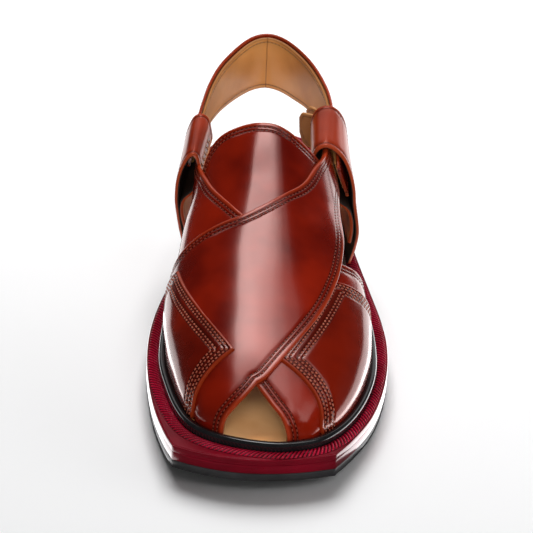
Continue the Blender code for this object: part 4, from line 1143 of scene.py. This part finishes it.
def panel_grid(table, bow, along, across):
    """Distance and girth at shares along and across a panel, its front and back edges bowed by
    4 t (1 - t)."""
    wide = eased(through(table, 1200), 40)
    edges = np.stack([np.interp(along, np.linspace(0, 1, len(wide)), wide[:, k]) for k in range(4)], -1)
    distance = edges[..., 0] * (1 - across) + edges[..., 2] * across
    distance = distance + (bow[0] * (1 - along) + bow[1] * along) * 4 * across * (1 - across)
    return distance, np.clip(edges[..., 1] * (1 - across) + edges[..., 3] * across, -1, 1)


FOLLOW_SHARE = 0.8      # how much of the missing distance each pass makes up


def panel_shares(place, middle=56, passes=6):
    """Shares along and across for rows and columns that follow the panel's three free edges: each pass
    moves them by the distance still missing, over the panel's length or depth."""
    near, near_top = near_stations(PANEL_SEAMS), near_stations(TOP_SEAMS)
    ends, half, none, full = np.array([[0.0, 1.0]]), np.array([[0.5]]), np.zeros((1, 1)), np.ones((1, 1))
    corner = place(ends, np.zeros((1, 2)))[0]
    length = np.linalg.norm(corner[1] - corner[0])
    depth = np.linalg.norm(place(half, full) - place(half, none))
    run = np.linspace(0, 1, 400)[None]
    top_edge, back_edge = place(run, 0 * run)[0], place(0 * run, run)[0]
    front_edge = place(0 * run + 1, run)[0]
    m = len(near)
    rows, columns = 2 * m + middle, m + middle
    p = np.concatenate([near / length, np.zeros(middle), 1 - near[::-1] / length])
    c = np.concatenate([near_top / depth, np.zeros(middle)])
    p, c = np.tile(p[:, None], (1, columns)), np.tile(c[None], (rows, 1))
    even = np.linspace(0, 1, middle + 2)[1:-1]
    for step in range(passes + 1):
        p[m:-m] = p[m - 1] + (p[-m] - p[m - 1]) * even[:, None]
        c[:, m:] = c[:, m - 1:m] + (1 - c[:, m - 1:m]) * np.linspace(0, 1, middle + 1)[None, 1:]
        if step == passes:
            return p, c
        body = place(p, c)
        c[:, 1:m] += FOLLOW_SHARE * (near_top[None, 1:] - line_distance(body[:, 1:m], top_edge)) / depth
        p[1:m] += FOLLOW_SHARE * (near[1:, None] - line_distance(body[1:m], back_edge)) / length
        p[-m:-1] -= FOLLOW_SHARE * (near[:0:-1, None] - line_distance(body[-m:-1], front_edge)) / length
        p, c = np.clip(p, 0, 1), np.clip(c, 0, 1)


def panel(name, table, bow, base_height):
    """A panel of even rise over what it is sewn to, with pleats where its seams run down to the welt."""
    def place(along, across):
        """Points of the panel's own surface at shares along and across it."""
        spot = panel_grid(table, bow, along, across)
        return last_point(*spot) + last_normal(*spot) * STRAP_LEATHER

    distance, girth = panel_grid(table, bow, *panel_shares(place))
    under = base_height(distance, girth)
    base, up = last_point(distance, girth), last_normal(distance, girth)
    body = base + up * (under + PANEL_STEP)[..., None]
    to_top, to_back, to_front = (line_distance(body, line) for line in (body[:, 0], body[0], body[-1]))
    edge = np.minimum(np.minimum(to_top, to_back), to_front)
    sides = np.minimum(to_back, to_front)
    sewn_in = 0 * edge
    for across, down in SEAM_DEPTHS:
        along_top = np.where(sides >= across, bell(to_top, down, PANEL_SPREAD), 0)
        along_side = np.where(to_top >= down, bell(sides, across, PANEL_SPREAD), 0)
        sewn_in = np.maximum(sewn_in, np.maximum(along_top, along_side))
    drop = edge_relief(edge, RIM_RADIUS, ()) + PANEL_SEAM_DEPTH * sewn_in
    low = smoothstep(UPPER_FOOT + PLEAT_REACH - body[..., 2], 0, 9) * smoothstep(9.5 - to_front, 0, 3)
    pleats = PLEAT_DEPTH * low * np.cos(to_front * 2 * np.pi / PLEAT_PITCH)
    rise = under + PANEL_STEP - drop + pleats + waviness(distance, girth) * smoothstep(edge, 8, 12)
    face, back = base + up * rise[..., None], base + up * (under - PANEL_GRIP)[..., None]
    # rim: paler edges (burnish and painted highlight); seam: painted shade in the stitch rows
    marks = {"rim": rim_mark(edge, PANEL_WEAR_AND_HIGHLIGHT), "seam": sewn_in}
    leather_sheet(name, face, back, [panel_leather, brown_lining], marks, ("upper",))
    normals = surface_normals(face, back)
    rows = []
    turned = lambda grid: np.swapaxes(grid, 0, 1)
    for across, down in SEAM_DEPTHS:
        for field, level, others, corner, grids in (
                (to_top, down, (to_front, to_back), across, (face, normals)),
                (turned(to_front)[:, ::-1], across, (turned(to_top)[:, ::-1],), down,
                 (turned(face)[:, ::-1], turned(normals)[:, ::-1])),
                (turned(to_back), across, (turned(to_top),), down, (turned(face), turned(normals)))):
            clear = seam_line(field, level, np.stack(others, -1), np.stack(others, -1))[0].min(-1)
            line, normal = seam_line(field, level, *grids)
            wanted = (clear >= corner) & (line[:, 2] > UPPER_FOOT + 1.0)
            rows.append(run_frames(line[wanted] + normal[wanted] * THREAD_LIFT, normal[wanted], THREAD_PITCH))
    thread(name + "_stitches", rows, PANEL_THREAD_SIZE, panel_thread)


panel("medial_panel", MEDIAL_PANEL, MEDIAL_PANEL_BOW, lambda distance, girth: over_walls(distance, girth)[1])
panel("lateral_panel", LATERAL_PANEL, LATERAL_PANEL_BOW, lambda distance, girth: STRAP_LEATHER + 0 * girth)


# ---- Tongue --------------------------------------------------------------------------------------
# A broad tongue of the same leather that closes the opening above the crossing. It lies just inside the
# straps and is sewn to them there; two rows of thread follow its rounded top edge.
TONGUE_LEATHER, TONGUE_DEPTH = 2.0, 0.7
TONGUE = [   # side to side: front distance, girth; back distance, girth
    (150, -0.58, 158, -0.55), (141, -0.50, 168, -0.47), (131, -0.34, 176.5, -0.33),
    (125, -0.18, 178.3, -0.16), (122, -0.04, 178.8, -0.03), (123, 0.08, 178, 0.07), (128, 0.20, 176, 0.16),
    (136, 0.32, 174, 0.26), (146, 0.44, 173, 0.37), (156, 0.52, 173, 0.46),
]
distance, girth = strap_grid(TONGUE, 200, EDGE_SEAMS)
face, up, first, last = last_strap("tongue_leather", distance, girth, -TONGUE_DEPTH - TONGUE_LEATHER,
                                   -TONGUE_DEPTH + 0 * girth, [red_leather, brown_lining], EDGE_SEAMS,
                                   stands_for=("tongue",))
thread("tongue_stitches", sewn_back(last, EDGE_SEAMS, face, up), THREAD_SIZE, red_thread)


# ---- Keepers -------------------------------------------------------------------------------------
# On each side of the ankle a flat strap of the same leather stands on the welt, folds over the heel
# strap into a loop, and is sewn to itself below it.
KEEPER_FOOT, KEEPER_HIGH, KEEPER_WIDTH, KEEPER_LEATHER = 161.0, {MEDIAL: 176.0, LATERAL: 180.0}, 29.0, 2.0
KEEPER_FOOT_HEIGHT, KEEPER_CROWN_HEIGHT = 18.0, 72.0
LATERAL_KEEPER = [   # front edge x, height; back edge x, height: up the outer side, over, down and back
    (40.3, 0.0, 36.2, 0.0), (42.6, 25.0, 38.2, 26.0), (43.8, 32.0, 39.4, 33.0), (43.0, 39.0, 39.6, 40.0),
    (41.7, 46.0, 38.8, 48.0), (40.8, 54.0, 37.6, 57.0), (38.4, 62.0, 36.8, 65.2), (35.0, 68.2, 35.2, 72.2),
    (30.0, 72.4, 32.0, 76.9), (25.8, 73.6, 27.4, 78.9), (21.8, 71.4, 22.2, 77.0), (20.0, 66.0, 19.8, 71.5),
    (21.6, 59.5, 21.6, 64.5), (26.6, 52.4, 25.8, 58.4), (33.6, 46.9, 31.6, 54.0), (38.6, 43.4, 36.2, 48.6),
    (40.6, 38.8, 37.2, 41.0), (41.1, 33.6, 36.9, 35.0),
    (40.3, 27.5, 35.9, 28.5),
]
MEDIAL_KEEPER = [
    (40.2, 0.0, 33.4, 0.0), (43.0, 25.0, 37.0, 27.0), (45.0, 32.0, 39.8, 35.0), (46.4, 39.0, 41.8, 42.0),
    (47.4, 46.0, 43.2, 49.0), (47.2, 54.0, 43.8, 57.0), (45.8, 60.6, 43.0, 65.0), (43.6, 65.6, 41.2, 70.6),
    (41.6, 68.2, 39.2, 73.8), (39.6, 69.0, 36.4, 74.8), (38.0, 67.4, 33.6, 73.0), (36.9, 63.4, 32.2, 68.4),
    (36.4, 57.6, 31.8, 62.2), (39.0, 51.4, 37.2, 55.2), (43.4, 47.2, 41.0, 51.0), (44.8, 43.8, 41.6, 46.8),
    (44.6, 38.8, 39.6, 41.6), (43.2, 33.6, 37.8, 36.0),
    (40.7, 25.5, 35.0, 27.5),
]


BAND_SEAM_DEPTH, BAND_SEAM_WIDTH, SUNK_DEPTH, BAND_WEAR_AND_HIGHLIGHT = 0.2, 0.34, 0.3, 0.9


def band(name, middle, heights, seams, materials, stands_for, rim=0.7, edge_wear_and_highlight=1.0, extra=None):
    """A flat strap between two heights over its middle surface (a grid of points with unit normals).
    Both long edges are rounded, the seams lie at given distances from them, and extra(points) gives what else
    is sunk into its face. The seams and what is sunk are darkened with painted shade."""
    surface, up = middle
    first, last = (line_distance(surface, surface[:, k]) for k in (0, -1))
    edge = np.minimum(first, last)
    low, high = heights
    sunk_and_shaded = 0 * edge if extra is None else extra(surface)
    round_off = edge_relief(edge, rim, seams, BAND_SEAM_DEPTH) + SUNK_DEPTH * sunk_and_shaded
    face = surface + up * (high - round_off)[..., None]
    back = surface + up * (low + edge_relief(edge, rim * 0.8, ()))[..., None]
    # rim: edge colour (burnish and painted highlight on red leather, brown on tan); seam: painted shade in
    # the channels and in what is sunk
    marks = {"rim": edge_wear_and_highlight * rim_mark(edge, BAND_WEAR_AND_HIGHLIGHT),
             "seam": sum((bell(edge, seam, BAND_SEAM_WIDTH) for seam in seams), sunk_and_shaded)}
    leather_sheet(name, face, back, materials, marks, stands_for)
    return face, surface_normals(face, back), first, last


def stations(width, seams, middle):
    """Shares across a strap of each width: dense over the edges and seams, even between them."""
    near = near_stations(seams)
    left = near[None, :] * np.minimum(1.0, width / (near[-1] * 2.2))[:, None] / width[:, None]
    core = left[:, -1:] + (1 - 2 * left[:, -1:]) * np.linspace(0, 1, middle)[None, 1:]
    return np.concatenate([left, core, 1 - left[:, -2::-1]], 1)


def spread(lines, seams, middle):
    """Points straight across between two edge curves held side by side, with middle columns of them
    between the seams."""
    width = np.linalg.norm(lines[:, 3:] - lines[:, :3], axis=1)
    share = stations(width, seams, middle)[..., None]
    return lines[:, None, :3] * (1 - share) + lines[:, None, 3:] * share


def keeper_lines(side, table):
    """The keeper's front and back edge: it leans back as it climbs, by the height's share of the crown."""
    table = np.array(table, float)
    for column, distance in ((1, KEEPER_FOOT), (3, KEEPER_FOOT + KEEPER_WIDTH)):
        table[0, column] = underside(distance) + UNDERSIDE_TOP + 4 * JOINT_GAP
    run = through(table, KEEPER_ROWS)
    lines = []
    for x, height, behind in ((run[:, 0], run[:, 1], 0.0), (run[:, 2], run[:, 3], KEEPER_WIDTH)):
        climb = (height - KEEPER_FOOT_HEIGHT) / (KEEPER_CROWN_HEIGHT - KEEPER_FOOT_HEIGHT)
        lines += [side * x, KEEPER_FOOT + (KEEPER_HIGH[side] - KEEPER_FOOT) * climb + behind, height]
    return np.stack(lines, 1)


KEEPER_SEAMS = (2.3,)
# Painted light: a lighter copy of the red leather, brighter as if lit more strongly, with paler rims.
lit_keeper_leather = polished_leather("keeper_red_leather_painted_light", (0.120, 0.0070, 0.0010),
                                  (0.265, 0.0230, 0.0040), (0.42, 0.070, 0.020), roughness=0.30,
                                  coat=(0.2, 0.22), tint=(1.0, 0.38, 0.28, 1.0))
# Painted shade: the keepers' lining is nearly black, standing for the shade inside the loops.
keeper_shade_lining = grained("dark_suede_lining", (0.012, 0.006, 0.004), (0.030, 0.014, 0.009), roughness=0.7,
                      grain=800.0, cloud=40.0, depth=0.2)
KEEPER_ROWS = 420                           # of the grid, from its foot over the fold to its loose end
KEEPER_FOLD, KEEPER_SEWN = (80, 340), (78, 84)      # rows of the fold, and those of the seams below it
KEEPER_SEAM, KEEPER_STITCH = (12, 330), (1.5, 0.5, 0.42)    # rows along which its edges are sewn
LACING = {MEDIAL: (0.12, 0.74), LATERAL: None}      # shares of the width that it spans
LACE_SIZE, LACE_PITCH, LACE_LEAN = (5.2, 0.9, 0.7), 4.3, 0.4
LACE_HOLES, LACE_ABOVE = 6, 13                      # half the slots' length and their rise, in rows
lace_thread = sewing_thread("pale_lace_thread", (0.34, 0.16, 0.10), (0.50, 0.27, 0.18), 0.42)


def keeper(name, side, table):
    """The folded strap, with two rows of stitches below the fold. The inner one's cheek, where its edge comes
    nearest to the foot, is laced: long slanting stitches over a row of slots, sunk and darkened with painted
    shade."""
    lines = keeper_lines(side, table)
    surface = spread(lines, KEEPER_SEAMS, 24 if LACING[side] else 12)
    up = unit(np.cross(np.gradient(surface, axis=0), np.gradient(surface, axis=1)))
    up *= np.sign(up[10, 16, 0] * side)         # outwards, low on its outer side
    laced = LACING[side]
    cheek = int(np.argmin(np.abs(lines[slice(*KEEPER_FOLD), 0]))) + KEEPER_FOLD[0] - LACE_ABOVE

    def slots(points):
        """Short slots at the lace's pitch, between the shares of the width that are laced, sunk and darkened
        with painted shade through the seam mark.
        """
        row, share = np.arange(len(points))[:, None], np.linspace(0, 1, points.shape[1])[None]
        along = line_distance(points, points[:, 0])
        box = smoothstep(LACE_HOLES - np.abs(row - cheek), 0, 2)
        box = box * smoothstep(share, laced[0], laced[0] + 0.04)
        box = box * smoothstep(-share, -laced[1], -laced[1] + 0.04)
        return box * smoothstep(np.abs(np.mod(along / LACE_PITCH, 1) - 0.5), 0.12, 0.2)

    face, normals, first, last = band(
        name + "_strap", (surface, up), (-KEEPER_LEATHER / 2, KEEPER_LEATHER / 2), KEEPER_SEAMS,
        [lit_keeper_leather, keeper_shade_lining], (name,), extra=slots if laced else None)
    if laced:
        part = slice(int(laced[0] * surface.shape[1]), int(laced[1] * surface.shape[1]))
        line, over = surface[cheek, part], up[cheek, part]
        centres, tangents, normal = run_frames(line + over * (KEEPER_LEATHER / 2 + 0.1), over, LACE_PITCH)
        thread(name + "_lacing", [(centres, np.cross(normal, tangents), normal)], LACE_SIZE, lace_thread,
               lean=LACE_LEAN)
    shown = lambda line: (np.arange(len(line)) > KEEPER_SEAM[0]) & (np.arange(len(line)) < KEEPER_SEAM[1])
    rows = sewn(first, KEEPER_SEAMS, face, normals, shown)
    rows += sewn_back(last, KEEPER_SEAMS, face, normals, shown)
    for row in KEEPER_SEWN:
        line, over = face[row, 8:-8], normals[row, 8:-8]
        rows.append(run_frames(line + over * THREAD_LIFT, over, THREAD_PITCH))
    thread(name + "_stitches", rows, KEEPER_STITCH, red_thread)


keeper("keeper_lateral", LATERAL, LATERAL_KEEPER)
keeper("keeper_medial", MEDIAL, MEDIAL_KEEPER)


# ---- Heel strap ----------------------------------------------------------------------------------
# The strap round the heel runs through both keepers. Its outside is the red leather, its inside a tan
# lining cut a little narrower, and one row of stitches near each edge holds them together.
HEEL_STRAP = [   # lateral end round the heel to the medial end: top edge x, distance, height; bottom edge
    (31.6, 174, 66.0, 37.4, 173.5, 49.2), (30.9, 187, 69.4, 37.2, 186, 51.2),
    (29.9, 201, 73.2, 35.8, 200, 53.0), (28.6, 213, 76.4, 33.0, 212, 54.0),
    (26.6, 226, 79.0, 29.6, 225, 54.0), (22.6, 239, 81.0, 25.0, 237, 54.0),
    (17.6, 250, 82.8, 19.6, 249, 54.0), (10.8, 261, 84.2, 12.0, 259, 54.0),
    (3.4, 269, 85.2, 4.0, 267, 54.3), (-4.0, 272, 85.6, -4.0, 270, 54.5),
    (-11.6, 269, 85.0, -12.0, 267, 54.3), (-19.2, 260, 83.4, -20.4, 258, 54.0),
    (-27.0, 247, 80.8, -28.6, 245, 53.6), (-32.0, 234, 77.6, -34.0, 232, 53.0),
    (-35.2, 220, 74.2, -37.4, 219, 52.4), (-37.6, 206, 71.2, -39.8, 205, 51.0),
    (-38.4, 199, 70.8, -40.8, 198, 52.0), (-38.9, 192, 70.0, -41.4, 191, 52.6),
]
HEEL_STRAP_THICK, HEEL_MIDDLE = 3.2, (-4.0, 215.0, 65.0)
LINING_DROP, LINING_RISE = 1.5, 0.35       # the lining stops short of the leather's top and bottom edge
HEEL_SEAM, CENTRE_SEAM_DEPTH, CENTRE_SEAM_WIDTH = (2.3,), 0.8, 0.3
LINING_START = 12       # rows by which the lining is shorter at each end
HEEL_STRAP_STITCH, LINING_STITCH = (1.6, 0.55, 0.45), (1.5, 0.5, 0.4)


def worn_tan(name, dark, light):
    """Tan lining leather: pale clouds, brown edges, and painted shade in the stitch channels and along the
    centre seam.
    """
    material, tree, add, shader, colour = grained_parts(
        name, dark, light, roughness=0.42, grain=1000.0, cloud=26.0, depth=0.10, Sheen_Weight=0.05)
    colour = mixed(add, times(add, stored(add, "rim"), 0.65), colour, (0.24, 0.080, 0.020, 1.0))
    # Painted shade: the stitch channels and the centre seam are mixed towards a dark brown.
    colour = mixed(add, times(add, stored(add, "seam"), 0.75), colour, (0.10, 0.030, 0.010, 1.0))
    tree.links.new(colour, shader.inputs["Base Color"])
    return material


tan_strap = worn_tan("tan_strap_leather", (0.44, 0.175, 0.038), (0.66, 0.310, 0.090))
tan_thread = sewing_thread("tan_thread", (0.26, 0.130, 0.055), (0.42, 0.235, 0.110), 0.5)
lines = through(HEEL_STRAP, 420)
surface = spread(lines, HEEL_SEAM, 12)
up = surface_normals(surface, HEEL_MIDDLE)
centre_line = surface[int(np.argmax(surface[:, 0, 1]))]
face, normals, first, last = band("heel_strap_leather", (surface, up), (0.0, HEEL_STRAP_THICK / 2), HEEL_SEAM,
                                  [red_leather, red_leather], ("heel_strap",), rim=0.8)
thread("heel_strap_stitches",
       sewn(first, HEEL_SEAM, face, normals) + sewn_back(last, HEEL_SEAM, face, normals),
       HEEL_STRAP_STITCH, red_thread)
down = lines[:, 3:] - lines[:, :3]
tall = np.linalg.norm(down, axis=1)[:, None]
narrow = np.hstack([lines[:, :3] + down * LINING_DROP / tall, lines[:, 3:] - down * LINING_RISE / tall])
surface = spread(narrow[LINING_START:-LINING_START], HEEL_SEAM, 12)
up = -surface_normals(surface, HEEL_MIDDLE)


def centre_seam(points):
    """The lining's seam at the back of the heel, a bell-shaped channel."""
    return CENTRE_SEAM_DEPTH * bell(line_distance(points, centre_line), 0.0, CENTRE_SEAM_WIDTH)


face, normals, first, last = band("heel_strap_lining", (surface, up), (0.05, HEEL_STRAP_THICK / 2), HEEL_SEAM,
                                  [tan_strap, tan_strap], ("heel_strap",), rim=0.8,
                                  extra=centre_seam)
thread("heel_lining_stitches",
       sewn(first, HEEL_SEAM, face, normals) + sewn_back(last, HEEL_SEAM, face, normals),
       LINING_STITCH, tan_thread)


# ---- Strap tail ----------------------------------------------------------------------------------
# The spare end of the heel strap, tan split leather folded back on itself inside the outer keeper. Both
# of its ends stand out behind the keeper.
STRAP_TAIL = [   # from one loose end round the fold to the other: top edge x, distance, height; bottom edge
    (13.4, 216.5, 69.4, 14.0, 216.5, 60.0), (14.6, 215.8, 72.0, 15.8, 215.6, 55.0),
    (17.6, 214.6, 72.4, 19.0, 214.4, 52.6), (20.8, 213.2, 72.4, 22.8, 213.0, 54.0),
    (23.4, 210.0, 72.2, 25.6, 210.0, 57.4), (24.2, 199.0, 71.6, 26.4, 199.0, 60.2),
    (24.6, 191.4, 70.4, 27.0, 191.4, 59.4), (26.6, 187.8, 70.0, 29.6, 187.8, 59.0),
    (28.6, 190.4, 70.4, 31.8, 190.4, 59.0), (27.8, 199.0, 72.0, 30.6, 199.0, 60.0),
    (26.4, 207.4, 72.8, 28.8, 207.4, 60.6), (24.1, 213.2, 73.6, 26.2, 213.2, 60.6),
    (20.8, 216.8, 74.2, 22.6, 216.8, 61.0), (18.4, 219.0, 73.8, 19.4, 219.0, 62.4),
    (17.0, 220.4, 71.4, 17.6, 220.4, 65.2),
]
TAIL_LEATHER, TAIL_SEAM = 1.6, (1.6,)
# Painted shade: the tail's tan is a darker copy of the heel strap lining's.
shaded_tan_tail = worn_tan("tan_tail_painted_shade", (0.270, 0.095, 0.020), (0.420, 0.180, 0.050))
surface = spread(through(STRAP_TAIL, 220), TAIL_SEAM, 8)
up = unit(np.cross(np.gradient(surface, axis=0), np.gradient(surface, axis=1)))
# Painted highlight: the negative edge share makes the tail's edges lighter.
band("strap_tail_leather", (surface, up), (-TAIL_LEATHER / 2, TAIL_LEATHER / 2), TAIL_SEAM,
     [shaded_tan_tail, shaded_tan_tail], ("strap_tail",), rim=0.5, edge_wear_and_highlight=-0.5)


# ---- Floor, lights and camera --------------------------------------------------------------------
# A plain white paper floor and an overhead softbox of four panes, with lamps in front, behind and at the
# sides, and white cards on the floor that the glossy walls mirror. The camera looks down over the toe.
scene = bpy.context.scene
scene.view_settings.view_transform = "Standard"
scene.view_settings.look = "None"


def floor_material():
    """Matt white paper, a little brighter than its light makes it."""
    material = bpy.data.materials.new("white_floor")
    material.use_nodes = True
    shader = material.node_tree.nodes["Principled BSDF"]
    shader.inputs["Base Color"].default_value = (0.93, 0.93, 0.935, 1.0)
    shader.inputs["Roughness"].default_value = 0.6
    shader.inputs["Emission Color"].default_value = (1.0, 1.0, 1.0, 1.0)
    shader.inputs["Emission Strength"].default_value = 0.02
    return material


def floor():
    """One large square, a hair below the tread so that their faces never coincide. No gloss mirrors it."""
    mesh = bpy.data.meshes.new("floor")
    reach, low = 6.0, -0.0002
    corners = [(-reach, -reach, low), (reach, -reach, low), (reach, reach, low), (-reach, reach, low)]
    mesh.from_pydata(corners, [], [(0, 1, 2, 3)])
    mesh.materials.append(floor_material())
    obj = bpy.data.objects.new("floor", mesh)
    scene.collection.objects.link(obj)
    obj.visible_glossy = False
    return obj


def softbox(name, place, towards, size, radiance, diffuse=True, glossy=True):
    """A rectangular light of size (width, height) in metres, facing a point. Its power is pi times
    its radiance times its area."""
    light = bpy.data.lights.new(name, "AREA")
    light.shape, light.size, light.size_y = "RECTANGLE", *size
    light.energy = np.pi * radiance * size[0] * size[1]
    obj = bpy.data.objects.new(name, light)
    obj.location = place
    obj.rotation_euler = (Vector(towards) - Vector(place)).to_track_quat("-Z", "Y").to_euler()
    obj.visible_camera, obj.visible_diffuse, obj.visible_glossy = False, diffuse, glossy
    scene.collection.objects.link(obj)
    return obj


all_but_floor = bpy.data.collections.new("all_but_floor")
all_but_floor.objects.link(floor())
all_but_floor.collection_objects[0].light_linking.link_state = "EXCLUDE"
# The overhead softbox is brightest at its left and fades to the right and front: four overlapping panes
# that share their left and back edges.
PANES_LEFT, PANES_BACK = -0.235, 0.56
for number, (right_edge, front_edge, radiance) in enumerate((
        (0.02, 0.17, 2.6), (0.12, 0.07, 2.2), (0.21, -0.02, 1.5), (0.36, -0.14, 0.8))):
    centre = ((PANES_LEFT + right_edge) / 2, (front_edge + PANES_BACK) / 2)
    softbox(f"overhead_pane_{number}", (*centre, 1.15 + 0.01 * number), (*centre, 0.0),
            (right_edge - PANES_LEFT, PANES_BACK - front_edge), radiance, diffuse=False)
softbox("toe_light", (0.58, -0.16, 1.2), (0.58, -0.16, 0.0), (0.50, 0.36), 1.6)
softbox("fill_light", (-0.05, 1.25, 1.30), (0.0, 0.0, 0.0), (1.0, 0.9), 15.6, glossy=False)
for light in (softbox("front_light", (0.1, -1.3, 0.17), (0.0, 0.0, 0.05), (2.4, 0.30), 2.6, glossy=False),
              softbox("front_fill", (0.0, -1.05, 1.0), (0.0, 0.0, 0.03), (1.4, 0.5), 5.0, glossy=False)):
    light.light_linking.receiver_collection = all_but_floor     # screened from the floor by a flag
softbox("back_light", (0.0, 1.02, 0.80), (0.0, 0.0, 0.05), (1.6, 0.5), 0.7)
softbox("right_light", (0.75, 1.06, 0.22), (0, 0.0, 0.08), (0.55, 0.30), 2.4)
softbox("side_light", (1.3, 0.1, 0.5), (0, 0.05, 0.05), (1.0, 0.6), 3.0, glossy=False)


def up_from_floor(x, y):
    """A card's place just above the floor, and a point over it."""
    return (x, y, 0.003), (x, y, 1.0)


# White cards on the floor beside the shoe: the bands along the outer edges of its glossy leather.
softbox("left_card", *up_from_floor(-0.12, 0.21), (0.11, 0.60), 1.7, diffuse=False)
softbox("right_card", *up_from_floor(0.64, 0.35), (1.15, 1.0), 2.0, diffuse=False)
for wider in (0.0, 0.008):      # a second, wider card softens the edge of the first
    softbox("left_toe_card", *up_from_floor(-0.061, -0.073), (0.024 + wider, 0.122 + wider), 3.0,
            diffuse=False)
    softbox("right_toe_card", *up_from_floor(0.067, -0.073), (0.036 + wider, 0.122 + wider), 3.6,
            diffuse=False)
world = bpy.data.worlds.new("studio")
world.use_nodes = True
world.node_tree.nodes["Background"].inputs["Color"].default_value = (1.0, 1.0, 1.0, 1.0)
world.node_tree.nodes["Background"].inputs["Strength"].default_value = 0.03
scene.world = world

VIEW_AZIMUTH, VIEW_ELEVATION, VIEW_ROLL = np.radians([-1.0, 34.0, 2.6])
VIEW_DISTANCE = 1.3
VIEW_CENTRE = Vector((-0.0015, -0.006, 0.030))
back = Vector((np.sin(VIEW_AZIMUTH) * np.cos(VIEW_ELEVATION), -np.cos(VIEW_AZIMUTH) * np.cos(VIEW_ELEVATION),
               np.sin(VIEW_ELEVATION)))
level = Vector((np.cos(VIEW_AZIMUTH), np.sin(VIEW_AZIMUTH), 0))
upright = back.cross(level)
right = np.cos(VIEW_ROLL) * level + np.sin(VIEW_ROLL) * upright
up = np.cos(VIEW_ROLL) * upright - np.sin(VIEW_ROLL) * level
lens = bpy.data.cameras.new("camera")
lens.sensor_width, lens.lens = 36.0, 178.0
lens.clip_end = 20.0
camera = bpy.data.objects.new("camera", lens)
camera.matrix_world = Matrix((right, up, back)).transposed().to_4x4()
camera.location = VIEW_CENTRE + back * VIEW_DISTANCE
scene.collection.objects.link(camera)
scene.camera = camera
